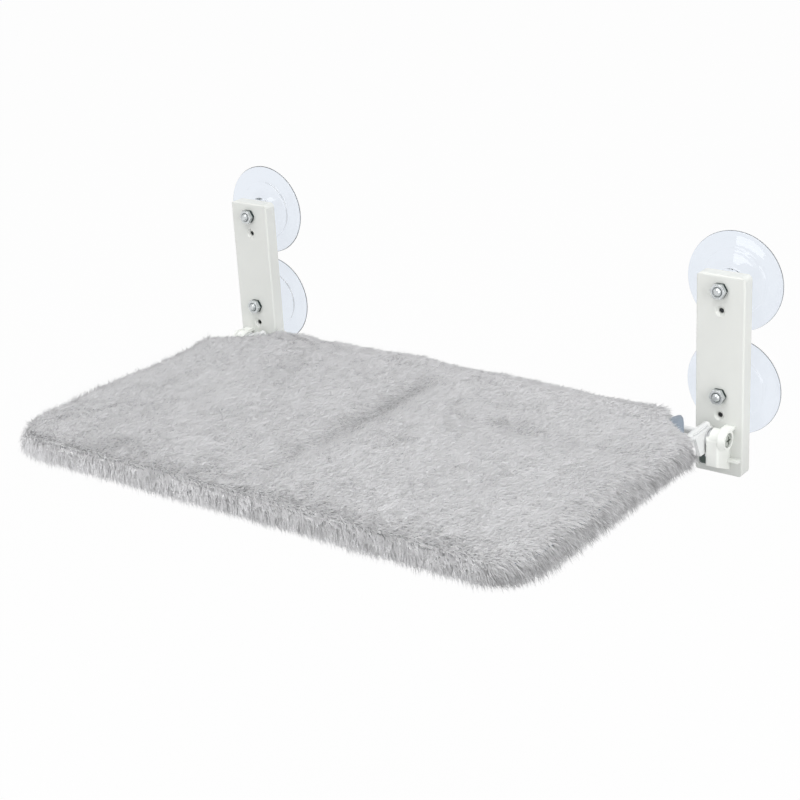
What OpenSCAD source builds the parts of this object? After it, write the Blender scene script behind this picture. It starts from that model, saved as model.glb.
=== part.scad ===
// Window mounted cat perch. Origin: centre of the four cups on the glass.
// +X runs along the window, +Y points into the glass, +Z is up.

/* [Window fixing] */
// Distance of a bracket's centre line inside the cover's side
bracket_inset = 10; // [4:0.5:14]
// Vertical distance between the two studs of a bracket
stud_pitch = 85; // [83:1:90]
// Diameter of a suction cup
cup_d = 80; // [66:1:82]
// Thickness of the cup's lip
cup_lip_t = 0.8; // [0.5:0.1:1.2]
// Width of the sealing land round the lip
cup_land_w = 2.2; // [1:0.1:4]
// Rise of the hollow under the middle of the cup
cup_hollow = 2; // [1:0.1:2.6]
// Diameter of the step where the thick middle of the cup begins
cup_step_d = 54; // [46:1:58]
// Diameter of the cup's neck
cup_neck_d = 25; // [22:0.5:30]
// Distance from the glass to the back of the bracket, which is the cup's height
stand_off = 13; // [12:0.5:18]
// Diameter of the threaded stud
stud_d = 6.35; // [5:0.05:8]
// Diameter of the stud's head inside the cup
stud_head_d = 14; // [12:0.5:17]
// Thickness of the stud's head
stud_head_t = 2.6; // [2:0.1:3]
// Length of thread that stands out of the nut
stud_proud = 1.6; // [1:0.1:4]
// Size of the nut across its flats
nut_af = 11.1; // [10:0.1:13]
// Thickness of the nut
nut_t = 5.6; // [4:0.1:7]

/* [Bracket] */
// Width of the bracket
bracket_w = 40.5; // [36:0.5:44]
// Thickness of the bracket
bracket_t = 12; // [10:0.5:14]
// Height of the bracket above its upper stud
bracket_rise = 11.7; // [11:0.1:16]
// Height of the bracket below its hinge axis
bracket_drop = 35.6; // [33:0.1:40]
// Corner radius of the bracket seen from the front
bracket_corner_r = 4; // [1.5:0.1:5]
// Radius of the front edges of the bracket
bracket_edge_r = 1.4; // [0.8:0.1:2]
// Wall of the moulding
wall = 2.4; // [2:0.1:2.8]
// Thickness of the moulding's front face
face_t = 3; // [2.6:0.1:4]
// Thickness of the ribs behind the front face
rib_t = 1.6; // [1.2:0.1:2]
// Diameter of the column round each stud hole
stud_boss_d = 14; // [12:0.5:18]
// Diameter of the column round each screw hole
screw_boss_d = 9.6; // [8:0.1:10]
// Diameter of the screw holes
screw_hole_d = 4.2; // [3.5:0.1:4.5]
// Diameter of the countersink of the screw holes
countersink_d = 8.4; // [7:0.1:9]
// Distance of each screw hole below its stud
screw_below_stud = 16.8; // [15.5:0.1:18]

/* [Hinge] */
// Distance of the hinge axis below the lower stud
axis_below_stud = 29.7; // [28.5:0.1:32]
// Distance of the hinge axis in front of the bracket
axis_out = 13; // [12.6:0.1:15]
// Width of the hinge block
block_w = 10.9; // [10:0.1:12]
// Reach of the block in front of the hinge axis
block_nose = 8; // [7.8:0.1:10]
// Height of the block's top above the hinge axis
block_top = 2.2; // [1.5:0.1:4]
// Depth of the block's front edge below the hinge axis
block_chin = 20.8; // [18:0.1:24]
// Depth of the block's underside below the hinge axis, at the bracket
block_root = 30.2; // [26:0.1:31]
// Radius of the block's upper front edge
block_edge_r = 3; // [1:0.1:4]
// Radius of the block's upright front edges
block_side_r = 2; // [0.8:0.1:3]
// Diameter of the hinge barrel at its end
barrel_d = 15.4; // [15:0.1:16.6]
// Diameter of the barrel's flare where it leaves the block
barrel_root_d = 18.4; // [17:0.1:19]
// Length of the barrel that stands out of the block
barrel_proud = 5; // [4.6:0.1:6]
// Length of the barrel that is sunk into the block
barrel_sunk = 8; // [6:0.1:9]
// Diameter of the recess for the screw head and washer
recess_d = 12; // [11.6:0.1:12.4]
// Depth of that recess
recess_depth = 4; // [3.8:0.1:7]
// Diameter of the hinge pin
pin_d = 8; // [6.5:0.1:8]
// Wall of the bush round the pin
bush_wall = 1; // [0.8:0.1:1.1]
// Diameter of the bush's flange
bush_flange_d = 14; // [12:0.1:14]
// Thickness of the bush's flange
bush_flange_t = 1; // [0.6:0.1:1.4]
// Diameter of the screw that holds the pin
pin_screw_d = 4; // [3:0.1:4.5]
// Length of that screw below its head
pin_screw_len = 9; // [7:0.1:10]
// Diameter of the screw's head
pin_screw_head_d = 10.4; // [9.6:0.1:10.8]
// Height of the screw's head
pin_screw_head_t = 2.6; // [2.2:0.1:3]
// Diameter of the washer under the screw's head
washer_d = 11; // [10.8:0.1:11.4]
// Thickness of that washer
washer_t = 1; // [0.8:0.1:1.2]
// Thickness of the steel hinge link
link_t = 3; // [2.5:0.1:4]
// Reach of the link in front of the hinge axis
link_nose = 21.4; // [16:0.1:24]
// Reach of the link's lower front corner in front of the hinge axis
link_chin = 13.2; // [9:0.1:15]
// Depth of the link's lower front edge below the hinge axis
link_depth = 12; // [9:0.1:14]
// Depth of the link's heel below the hinge axis
link_heel = 17.8; // [15:0.1:19]
// Distance of the link's rear edge behind the hinge axis
link_back = 7.6; // [7:0.1:9]
// Radius of the link's corners
link_corner_r = 2; // [1:0.1:3]

/* [Stop] */
// Width of the rubber stop buffer
buffer_w = 12; // [8:0.1:13]
// Height of the rubber stop buffer
buffer_h = 14; // [12:0.1:15]
// Depth of the pocket that the buffer sits in
buffer_pocket = 1.2; // [0.8:0.1:1.6]

/* [Frame] */
// Diameter of the frame's rod
rod_d = 7; // [6:0.5:8]
// Diameter of the crossbar between the rails
crossbar_d = 6; // [5:0.5:6.5]
// Distance of a rail's centre line inside the cover's side
rail_inset = 18.5; // [18:0.5:22]
// Height of the rod's centre line above the hinge axis
rod_rise = 4.4; // [3.6:0.1:5]
// Distance of the rails' ends in front of the bracket
rail_end_gap = 3.5; // [3:0.1:5]
// Distance of the front rod's centre line in front of the bracket
frame_reach = 287; // [250:1:330]
// Radius of the frame's front corners, on the rod's centre line
frame_corner_r = 35; // [20:1:60]

/* [Cushion] */
// Width of the cover without its pile
cover_w = 488; // [440:1:600]
// Distance of the cover's rear edge in front of the bracket
cover_gap = 8; // [7:0.5:12]
// Distance of the cover's front edge in front of the front rod's centre line
cover_front = 14.5; // [12:0.5:24]
// Height of the cover's top above the rod's centre line
cover_above = 8.8; // [8.6:0.1:13]
// Depth of the cover's underside below the rod's centre line
cover_below = 8.7; // [7:0.1:12]
// Radius of the cover's front corners
cover_corner_r = 38; // [25:1:60]
// Size of the cut-off rear corners, where the rails leave the cover
cover_cut = 52; // [48:1:60]
// Radius of the edges of those cut corners
cover_cut_r = 14; // [8:1:20]
// Thickness of the cover's side wall
cover_side_t = 3; // [2:0.5:4]
// Distance that the sides are drawn in at the upper and lower edge
cover_draw = 4.2; // [3:0.1:6]
// Width of the crown's shoulder
crown_w = 46; // [30:1:70]
// Height of the crown over its shoulder
crown_h = 1.4; // [0.5:0.1:2.4]
// Depth of the fold line down the middle of the cover
fold_depth = 1.6; // [0.5:0.1:2]
// Half width of that fold line
fold_half_w = 22; // [10:1:40]
// Width of the hem under the cover
hem_w = 13; // [11:0.5:18]
// Thickness of the hem and the panel under the cover
hem_t = 1.5; // [1:0.1:2]
// Thickness of the inner lining
lining_t = 1; // [0.6:0.1:1.2]
// Distance that the lining shows past the cover's cut corners
lining_show = 3; // [1:0.5:5]
// Thickness of the binding along the lower seam
binding_t = 1.6; // [1:0.1:2]
// Width of that binding
binding_w = 5; // [4:0.5:6]
// Distance of the ends of the flap over the rear mouth from the cover's sides
flap_inset = 54; // [52:1:90]
// Depth of that flap
flap_depth = 60; // [45:1:80]
// Thickness of the flap
flap_t = 1.1; // [0.8:0.1:1.5]
// Distance of the ends of the hook and loop strips from the flap's ends
strip_inset = 20; // [15:1:50]
// Depth of the strips
strip_depth = 22; // [15:1:28]

/* [Hidden] */
$fn = 64;

// Clearances
seat = 0.05;
running = 0.05;
soft_gap = 0.3;
float_gap = 0.1;
hole_gap = 0.25;
overrun = 1;

// Places of the bracket
back_y = -stand_off;
front_y = back_y - bracket_t;
stud_z = [stud_pitch / 2, -stud_pitch / 2];
axis_y = front_y - axis_out;
axis_z = stud_z[1] - axis_below_stud;
top_z = stud_z[0] + bracket_rise;
bottom_z = axis_z - bracket_drop;
bracket_x = cover_w / 2 - bracket_inset;
bracket_h = top_z - bottom_z;
mid_z = (top_z + bottom_z) / 2;

// Places along the hinge axis, outwards from the rail
rail_x = cover_w / 2 - rail_inset;
flap_w = cover_w - 2 * flap_inset;
strip_w = flap_w - 2 * strip_inset;
link_x = rail_x + rod_d / 2;
flange_x = link_x + link_t + float_gap;
block_x = flange_x + bush_flange_t;
block_end_x = block_x + block_w;
barrel_end_x = block_end_x + barrel_proud;
recess_floor_x = barrel_end_x - recess_depth;
pin_end_x = recess_floor_x + 2 * float_gap;
bush_d = pin_d + 2 * bush_wall;
rod_z = axis_z + rod_rise;
front_rod_y = front_y - frame_reach;
rail_end_y = front_y - rail_end_gap;

// Layers of the cushion, from the top down
cover_rear_y = front_y - cover_gap;
cover_wall_t = cover_side_t + cover_draw;
crossbar_y = cover_rear_y - cover_wall_t - soft_gap - crossbar_d / 2;
cover_front_y = front_rod_y - cover_front;
cover_top_z = rod_z + cover_above;
cover_bottom_z = rod_z - cover_below;
lining_z = rod_z + rod_d / 2 + soft_gap;
ceiling_z = lining_z + lining_t + soft_gap;
hem_top_z = cover_bottom_z + hem_t;
pad_top_z = lining_z - soft_gap;
pad_bottom_z = hem_top_z + soft_gap;
strip_t = (binding_t - 2 * seat) / 2;
flap_z = cover_bottom_z - binding_t - flap_t - seat;
rear_cut_turn = 45;

// Mirrors a right hand piece to the left hand side
module on_side(side) {
    if (side > 0) children();
    else mirror([1, 0, 0]) children();
}

// Turns a piece drawn up its own z axis so that it points away from the glass
module away_from_glass() { rotate([90, 0, 0]) children(); }

// Turns a piece drawn up its own z axis so that it points along +X on the hinge axis
module along_axis(x) { translate([x, axis_y, axis_z]) rotate([0, 90, 0]) children(); }

// Rectangle with round corners, centred
module round_rect(w, h, r) {
    square([w, h - 2 * r], center = true);
    square([w - 2 * r, h], center = true);
    for (x = [-1, 1], y = [-1, 1]) translate([x * (w / 2 - r), y * (h / 2 - r)]) circle(r);
}

// Suction cup: section of a body of revolution, radius against distance from the glass
cup_r = cup_d / 2;
cup_shoulder_r = cup_step_d / 2;
cup_neck_r = cup_neck_d / 2;
cup_step_t = 2.2;
cup_shoulder_t = 4.2;
cup_root_t = 8.2;
cup_floor_t = cup_hollow + 2.6;
cup_curve_steps = 8;
function blend(a, b, share) = a + (b - a) * (1 - cos(180 * share)) / 2;
function mix(a, b, share) = a + (b - a) * share;
function cup_hollow_points() = [for (i = [0:cup_curve_steps])
    let (share = i / cup_curve_steps)
    [mix(0, cup_r - cup_land_w, share), blend(cup_hollow, 0, share)]];
function cup_outer_points() = [for (i = [0:cup_curve_steps])
    let (share = i / cup_curve_steps)
    [mix(cup_r, cup_shoulder_r, share), blend(cup_lip_t, cup_step_t, share)]];
function cup_shoulder_points() = [for (i = [1:cup_curve_steps])
    let (share = i / cup_curve_steps)
    [mix(cup_shoulder_r - cup_lip_t, cup_neck_r, share), mix(cup_shoulder_t, cup_root_t, share * share)]];

module suction_cup(side, level) {
    color([0.90, 0.93, 0.96, 0.4])
    on_side(side) translate([bracket_x, 0, stud_z[level]]) away_from_glass()
        rotate_extrude() polygon(concat(
            cup_hollow_points(), [[cup_r, 0]], cup_outer_points(),
            [[cup_shoulder_r - cup_lip_t, cup_shoulder_t]], cup_shoulder_points(),
            [[cup_neck_r, stand_off],
             [stud_d / 2 + seat, stand_off],
             [stud_d / 2 + seat, cup_floor_t + stud_head_t + 2 * seat],
             [stud_head_d / 2 + seat, cup_floor_t + stud_head_t + 2 * seat],
             [stud_head_d / 2 + seat, cup_floor_t],
             [0, cup_floor_t]]));
}

stud_end_t = stand_off + bracket_t + nut_t + stud_proud;
stud_tip_h = 1.2;
module cup_studs(side) {
    color("silver") on_side(side) for (z = stud_z)
        translate([bracket_x, 0, z]) away_from_glass() {
            translate([0, 0, cup_floor_t + seat]) cylinder(d = stud_head_d, h = stud_head_t);
            translate([0, 0, cup_floor_t + seat]) cylinder(d = stud_d, h = stud_end_t - stud_tip_h - cup_floor_t - seat);
            translate([0, 0, stud_end_t - stud_tip_h])
                cylinder(d1 = stud_d, d2 = stud_d - 2 * stud_tip_h, h = stud_tip_h);
        }
}

nut_corner_d = nut_af / cos(30);
nut_chamfer = (nut_corner_d - nut_af) / 4;
module hex_nuts(side) {
    color("silver") on_side(side) for (z = stud_z)
        translate([bracket_x, front_y, z]) away_from_glass() difference() {
            intersection() {
                cylinder(d = nut_corner_d, h = nut_t, $fn = 6);
                rotate_extrude() polygon([
                    [0, 0],
                    [nut_corner_d / 2 - nut_chamfer, 0],
                    [nut_corner_d / 2, nut_chamfer],
                    [nut_corner_d / 2, nut_t - nut_chamfer],
                    [nut_corner_d / 2 - nut_chamfer * 2, nut_t],
                    [0, nut_t]]);
            }
            translate([0, 0, -overrun]) cylinder(d = stud_d + 2 * seat, h = nut_t + 2 * overrun);
        }
}

// Outer form of the bracket plate, rounded along its front edges
module bracket_form() {
    edge_l = bracket_h + 2 * overrun;
    intersection() {
        translate([0, back_y, mid_z]) away_from_glass() linear_extrude(bracket_t)
            round_rect(bracket_w, bracket_h, bracket_corner_r);
        translate([0, back_y, mid_z - edge_l / 2]) linear_extrude(edge_l) mirror([0, 1])
            front_rounded(bracket_w, bracket_t);
        translate([-bracket_w / 2 - overrun, back_y, mid_z]) rotate([90, 0, 90])
            linear_extrude(bracket_w + 2 * overrun) rotate(90) front_rounded(bracket_h, bracket_t);
    }
}

// Rectangle whose far two corners are rounded
module front_rounded(w, t) {
    translate([-w / 2, 0]) square([w, t - bracket_edge_r]);
    translate([-w / 2 + bracket_edge_r, 0]) square([w - 2 * bracket_edge_r, t]);
    for (x = [-1, 1]) translate([x * (w / 2 - bracket_edge_r), t - bracket_edge_r]) circle(bracket_edge_r);
}

cavity_t = bracket_t - face_t;
module bracket_cavity() {
    translate([0, back_y + overrun, mid_z]) away_from_glass() linear_extrude(cavity_t + overrun)
        round_rect(bracket_w - 2 * wall, bracket_h - 2 * wall, bracket_corner_r / 2);
}

// Ribs behind the front face: bars at the columns and a crossed pair in each bay
screw_z = [stud_z[0] - screw_below_stud, stud_z[1] - screw_below_stud];
core_top = bush_d / 2 + wall;
bay_z = [stud_z[0], screw_z[0], 0, stud_z[1] + screw_below_stud, stud_z[1], screw_z[1],
    axis_z - core_top + rib_t];
module bracket_ribs() {
    inner_w = bracket_w - 2 * wall;
    for (z = bay_z)
        translate([0, back_y - cavity_t / 2, z]) cube([inner_w, cavity_t, rib_t], center = true);
    for (i = [1:2]) {
        // the crossed ribs meet the walls short of the bars, so that no thin wedge is left
        cross_h = bay_z[i] - bay_z[i + 1] - 4 * rib_t;
        for (lean = [-1, 1])
            translate([0, back_y - cavity_t / 2, (bay_z[i] + bay_z[i + 1]) / 2])
                rotate([0, lean * atan2(inner_w, cross_h), 0])
                    cube([rib_t, cavity_t, norm([inner_w, cross_h]) + rib_t], center = true);
    }
}

module column(z, d) {
    translate([0, back_y, z]) away_from_glass() cylinder(d = d, h = cavity_t + overrun / 2);
}

// Side profile of the hinge block, distance in front of the bracket against height over the axis
module block_profile() {
    nose = axis_out + block_nose;
    edge = nose - block_edge_r;
    difference() {
        polygon([[-face_t / 2, block_top], [edge, block_top], [nose, block_top - block_edge_r],
            [nose, -block_chin], [0, -block_root], [-face_t / 2, -block_root]]);
        // the flat nose corner is cut away here and rounded by the circle below
        translate([edge, block_top - block_edge_r]) square([block_edge_r, block_edge_r]);
    }
    translate([edge, block_top - block_edge_r]) circle(block_edge_r);
}

// Extrudes a side profile along X, from x to x + w
module side_extrude(x, w) {
    translate([x, front_y, axis_z]) rotate([90, 0, 90]) linear_extrude(w) mirror([1, 0]) children();
}

web_w = 8;
web_t = 2.4;
web_drop = 0.8;
web_back = 1;
ledge_w = 9;
ledge_t = 2;
ledge_out = 5;
ledge_below = 20;
barrel_rim = 1;
module hinge_block() {
    intersection() {
        side_extrude(block_x, block_w) block_profile();
        block_plan();
    }
    along_axis(block_end_x - barrel_sunk) cylinder(d = barrel_d, h = barrel_sunk + barrel_proud);
    along_axis(block_end_x) cylinder(d1 = barrel_root_d, d2 = barrel_d, h = barrel_proud - barrel_rim);
    // web that ties the top of the barrel to the plate
    side_extrude(barrel_end_x - web_w - web_back, web_w)
        translate([-face_t / 2, barrel_d / 2 - web_drop - web_t]) square([axis_out + face_t / 2, web_t]);
    // short ledge beside the block
    side_extrude(block_end_x - overrun, ledge_w + overrun)
        translate([-overrun, -ledge_below - ledge_t]) square([ledge_out + overrun, ledge_t]);
}

// The block seen from above, with its upright front edges rounded
module block_plan() {
    depth = axis_out + block_nose + face_t;
    translate([block_x, front_y - axis_out - block_nose, axis_z - block_root - overrun])
        linear_extrude(block_root + block_top + 2 * overrun) {
            translate([0, block_side_r]) square([block_w, depth - block_side_r]);
            translate([block_side_r, 0]) square([block_w - 2 * block_side_r, block_side_r]);
            for (x = [block_side_r, block_w - block_side_r]) translate([x, block_side_r]) circle(block_side_r);
        }
}

// Hollow behind the block, which keeps its walls as thick as the plate's
module block_core() {
    side_extrude(block_x + wall, block_w - 2 * wall)
        polygon([[-bracket_t - overrun, -core_top], [axis_out + block_nose - wall, -core_top],
            [axis_out + block_nose - wall, -block_chin + wall],
            [-overrun, -block_root + wall],
            [-bracket_t - overrun, -block_root + wall]]);
}

buffer_x = flange_x - buffer_w - running;
buffer_above_heel = 4.6;
buffer_top_z = axis_z - link_heel + buffer_above_heel;
module bracket(side) {
    color([0.90, 0.90, 0.88]) on_side(side) difference() {
        union() {
            translate([bracket_x, 0, 0]) difference() {
                bracket_form();
                bracket_cavity();
            }
            translate([bracket_x, 0, 0]) {
                intersection() {
                    bracket_ribs();
                    bracket_form();
                }
                for (z = stud_z) column(z, stud_boss_d);
                for (z = screw_z) column(z, screw_boss_d);
            }
            hinge_block();
        }
        for (z = stud_z) translate([bracket_x, back_y + overrun, z]) away_from_glass()
            cylinder(d = stud_d + 2 * hole_gap, h = bracket_t + 2 * overrun);
        for (z = screw_z) translate([bracket_x, 0, z]) screw_hole();
        along_axis(block_x - overrun)
            cylinder(d = bush_d + 2 * seat, h = recess_floor_x - block_x + 2 * overrun);
        along_axis(recess_floor_x) cylinder(d = recess_d, h = recess_depth + overrun);
        block_core();
        translate([buffer_x - seat, front_y - overrun, buffer_top_z - buffer_h - seat])
            cube([buffer_w + 2 * seat, buffer_pocket + overrun, buffer_h + 2 * seat]);
    }
}

module screw_hole() {
    sink_t = (countersink_d - screw_hole_d) / 2;
    translate([0, back_y + overrun, 0]) away_from_glass()
        cylinder(d = screw_hole_d, h = bracket_t + 2 * overrun);
    translate([0, front_y + sink_t, 0]) away_from_glass()
        cylinder(d1 = screw_hole_d, d2 = countersink_d + 2 * overrun, h = sink_t + overrun);
}

module hinge_bush(side) {
    color([0.82, 0.83, 0.84]) on_side(side) along_axis(flange_x) difference() {
        union() {
            cylinder(d = bush_flange_d, h = bush_flange_t - seat);
            cylinder(d = bush_d, h = recess_floor_x - flange_x - 2 * float_gap);
        }
        translate([0, 0, -overrun])
            cylinder(d = pin_d + 2 * running, h = recess_floor_x - flange_x + 2 * overrun);
    }
}

module stop_buffer(side) {
    buffer_t = axis_out - link_back - soft_gap + buffer_pocket - seat;
    color([0.10, 0.11, 0.12]) on_side(side)
        translate([buffer_x, front_y + buffer_pocket - seat - buffer_t, buffer_top_z - buffer_h])
            cube([buffer_w, buffer_t, buffer_h]);
}

// Steel link beside the rail, seen from the side: distance in front of the axis against height over it
link_top = rod_rise + rod_d / 4;
link_steps = 4;
module hinge_link(side) {
    slope = atan2(link_nose - link_chin, link_top + link_depth);
    color([0.93, 0.93, 0.93]) on_side(side) translate([0, -axis_out, 0]) side_extrude(link_x, link_t)
        difference() {
            polygon(concat(
                round_corner([link_nose, link_top], -slope, 90, link_corner_r, link_steps),
                round_corner([-link_back, link_top], 90, 180, link_corner_r, link_steps),
                round_corner([-link_back, -link_heel], 180, 270, link_corner_r / 2, link_steps),
                round_corner([0, -link_heel], 270, 360, link_corner_r / 2, link_steps),
                [[0, -link_depth]],
                round_corner([link_chin, -link_depth], -90, -slope, link_corner_r / 2, link_steps)));
            circle(d = pin_d + 2 * seat);
        }
}

module hinge_pin(side) {
    pin_start_x = link_x + soft_gap;
    color("silver") on_side(side) along_axis(pin_start_x) difference() {
        cylinder(d = pin_d, h = pin_end_x - pin_start_x);
        translate([0, 0, pin_end_x - pin_start_x - pin_screw_len])
            cylinder(d = pin_screw_d + 2 * seat, h = pin_screw_len + overrun);
    }
}

module pin_washer(side) {
    color("silver") on_side(side) along_axis(pin_end_x) difference() {
        cylinder(d = washer_d, h = washer_t);
        translate([0, 0, -overrun]) cylinder(d = pin_screw_d + 2 * hole_gap, h = washer_t + 2 * overrun);
    }
}

cross_w = 1.4;
cross_l = 6.6;
cross_depth = 1.6;
module pin_screw(side) {
    head_x = pin_end_x + washer_t;
    head_edge = 0.6;
    color("dimgray") on_side(side) along_axis(head_x) difference() {
        union() {
            rotate_extrude() polygon([[0, 0], [pin_screw_head_d / 2, 0],
                [pin_screw_head_d / 2, pin_screw_head_t - 2 * head_edge],
                [pin_screw_head_d / 2 - head_edge, pin_screw_head_t - head_edge / 2],
                [pin_screw_head_d / 3, pin_screw_head_t], [0, pin_screw_head_t]]);
            translate([0, 0, seat - pin_screw_len - washer_t + pin_screw_d / 4])
                cylinder(d = pin_screw_d, h = pin_screw_len + washer_t - pin_screw_d / 4);
        }
        for (turn = [0, 90]) rotate(turn)
            translate([-cross_l / 2, -cross_w / 2, pin_screw_head_t - cross_depth])
                cube([cross_l, cross_w, cross_depth + overrun]);
    }
}

// One rod along Y or X, and the bend that joins them
module frame_loop() {
    bend_y = front_rod_y + frame_corner_r;
    bend_x = rail_x - frame_corner_r;
    color([0.94, 0.94, 0.94]) {
        for (side = [-1, 1]) {
            translate([side * rail_x, rail_end_y, rod_z]) away_from_glass()
                cylinder(d = rod_d, h = rail_end_y - bend_y);
            translate([side * bend_x, bend_y, rod_z]) rotate([0, 0, side > 0 ? -90 : 180])
                rotate_extrude(angle = 90) translate([frame_corner_r, 0]) circle(d = rod_d);
        }
        translate([-bend_x, front_rod_y, rod_z]) rotate([0, 90, 0]) cylinder(d = rod_d, h = 2 * bend_x);
    }
}

// The crossbar's ends are shaped to the round rails that they are welded to
module rear_crossbar() {
    color([0.92, 0.92, 0.92]) difference() {
        translate([-rail_x, crossbar_y, rod_z]) rotate([0, 90, 0])
            cylinder(d = crossbar_d, h = 2 * rail_x);
        for (side = [-1, 1]) translate([side * rail_x, crossbar_y + rod_d, rod_z]) away_from_glass()
            cylinder(d = rod_d + 2 * seat, h = 2 * rod_d);
    }
}

// Plan of the cover: a rectangle with round front corners and cut rear corners.
// Points of one rounded corner between two edges whose normals point at from and to.
function round_corner(at, from, to, r, steps) =
    let (n0 = [cos(from), sin(from)], n1 = [cos(to), sin(to)],
         centre = at - r * (n0 + n1) / (1 + n0 * n1))
    [for (i = [0:steps]) let (turn = from + (to - from) * i / steps)
        centre + r * [cos(turn), sin(turn)]];
// Points along a straight edge between two places, at the given shares of its length
function edge_points(from, to, shares) = [for (share = shares) from + (to - from) * share];

front_steps = 8;
cut_steps = 3;
edge_shares = [0.25, 0.5, 0.75];
long_shares = [0.2, 0.38, 0.455, 0.5, 0.545, 0.62, 0.8];
// The whole plan, moved in by inset. Cut is the size of the rear corners before that,
// and corner_r the radius of the front corners after it.
function plan(inset, cut = cover_cut, corner_r = cover_corner_r) =
    let (x = cover_w / 2 - inset, yf = cover_front_y + inset, yr = cover_rear_y - inset,
         c = cut - inset * (2 - sqrt(2)),
         rf = corner_r == cover_corner_r ? max(corner_r - inset, rod_d) : corner_r,
         rc = max(cover_cut_r - inset, rod_d / 2))
    concat(
        round_corner([x, yf], -90, 0, rf, front_steps),
        edge_points([x, yf + rf], [x, yr - c], edge_shares),
        round_corner([x, yr - c], 0, rear_cut_turn, rc, cut_steps),
        round_corner([x - c, yr], rear_cut_turn, 90, rc, cut_steps),
        edge_points([x - c, yr], [c - x, yr], long_shares),
        round_corner([c - x, yr], 90, 90 + rear_cut_turn, rc, cut_steps),
        round_corner([-x, yr - c], 90 + rear_cut_turn, 180, rc, cut_steps),
        edge_points([-x, yr - c], [-x, yf + rf], edge_shares),
        round_corner([-x, yf], 180, 270, rf, front_steps),
        edge_points([rf - x, yf], [x - rf, yf], long_shares));

// A flat layer of cloth with the cover's plan
module layer(z, t, inset, cut = cover_cut) {
    translate([0, 0, z]) linear_extrude(t) polygon(plan(inset, cut));
}

// Height of the cover's top: it crowns up from the shoulder and dips along the middle fold
function fold_dip(x) = fold_depth * exp(-(x * x) / (fold_half_w * fold_half_w));
cover_mid = [0, (cover_front_y + cover_rear_y) / 2];
// Share of the way from the shoulder to the middle, and the crown's rise there
crown_shares = [0, 0.12, 0.3, 0.6];
// Share of the crown's height that is left to climb at the shoulder
crown_edge_share = 0.15;
// Share of the fold line's depth that reaches the shoulder
fold_edge_share = 0.3;
function crown_z(x, share) = cover_top_z - crown_h * crown_edge_share * (1 - share) * (1 - share)
    - fold_dip(x) * min(1, share + fold_edge_share);
function crown_ring(share) = [for (p = plan(crown_w))
    let (q = p + (cover_mid - p) * share)
    [q[0], q[1], crown_z(q[0], share)]];
function flat_ring(inset, z) = [for (p = plan(inset)) [p[0], p[1], z]];

side_steps = 6;
side_mid_z = (cover_top_z - crown_h + cover_bottom_z) / 2;
side_half_h = (cover_top_z - crown_h - cover_bottom_z) / 2;
// The bulging side runs from the lower edge, where share is 0, to the upper edge
function side_ring(share) = let (turn = 180 * share - 90)
    flat_ring(cover_draw * (1 - cos(turn)), side_mid_z + side_half_h * sin(turn));

// Place of the ring between the side and the crown, as shares of the crown's width and height
shoulder_share = 0.45;
shoulder_drop_share = 0.4;
function cover_rings() = concat(
    [flat_ring(hem_w, cover_bottom_z)],
    [for (i = [0:side_steps]) side_ring(i / side_steps)],
    [flat_ring(crown_w * shoulder_share, cover_top_z - crown_h * shoulder_drop_share)],
    [for (share = crown_shares) crown_ring(share)]);
function cover_inner_rings() = [
    flat_ring(cover_wall_t, ceiling_z),
    flat_ring(cover_wall_t, hem_top_z),
    flat_ring(hem_w, hem_top_z)];

// Skins a closed row of rings between two points on the axis
module ring_solid(rings, first_pole, last_pole) {
    n = len(rings[0]);
    m = len(rings);
    points = concat([for (ring = rings) each ring], [first_pole, last_pole]);
    sides = [for (i = [0:m - 2], j = [0:n - 1]) let (k = (j + 1) % n)
        each [[i * n + j, (i + 1) * n + j, i * n + k], [i * n + k, (i + 1) * n + j, (i + 1) * n + k]]];
    first_cap = [for (j = [0:n - 1]) [m * n, j, (j + 1) % n]];
    last_cap = [for (j = [0:n - 1]) [m * n + 1, (m - 1) * n + (j + 1) % n, (m - 1) * n + j]];
    polyhedron(points = points, faces = concat(sides, first_cap, last_cap));
}

// The mouth leaves the side wall out round each rear corner, where the rails and crossbar come out
mouth_w = cover_cut + 2 * rod_d;
module plush_cover() {
    // rings run from the ceiling's middle out and down to the hem, then round and up to the crown
    rings = concat(cover_inner_rings(), cover_rings());
    color([0.76, 0.76, 0.77]) difference() {
        ring_solid(rings, [cover_mid[0], cover_mid[1], ceiling_z],
            [cover_mid[0], cover_mid[1], cover_top_z - fold_dip(0)]);
        for (side = [0, 1]) mirror([side, 0, 0])
            translate([cover_w / 2 - mouth_w, cover_rear_y - mouth_w, hem_top_z])
                cube([mouth_w + overrun, mouth_w + overrun, ceiling_z - hem_top_z]);
    }
}

// The lining shows past the cut corners by lining_show
module inner_lining() {
    inset = cover_wall_t + soft_gap;
    cut = cover_cut - lining_show * sqrt(2) - inset * (sqrt(2) - 2 + sqrt(2));
    color([0.60, 0.62, 0.67]) layer(lining_z, lining_t, inset, cut);
}

// The pad fills the frame loop, under the lining
module foam_pad() {
    inset = cover_w / 2 - rail_x + rod_d / 2 + soft_gap;
    color([0.93, 0.91, 0.84]) translate([0, 0, pad_bottom_z]) linear_extrude(pad_top_z - pad_bottom_z)
        polygon(plan(inset, cover_cut, frame_corner_r - rod_d / 2 - soft_gap));
}

module under_panel() {
    color([0.55, 0.58, 0.64]) layer(cover_bottom_z, hem_t, hem_w + soft_gap);
}

module seam_binding() {
    inset = hem_w + soft_gap - binding_w / 2;
    color([0.42, 0.48, 0.53]) difference() {
        layer(cover_bottom_z - seat - binding_t, binding_t, inset);
        layer(cover_bottom_z - seat - binding_t - overrun, binding_t + 2 * overrun, inset + binding_w);
    }
}

flap_rear_y = cover_rear_y - hem_w + binding_w / 2;
module closing_flap() {
    color([0.55, 0.58, 0.64]) translate([-flap_w / 2, flap_rear_y - flap_depth, flap_z])
        cube([flap_w, flap_depth, flap_t]);
}

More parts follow.
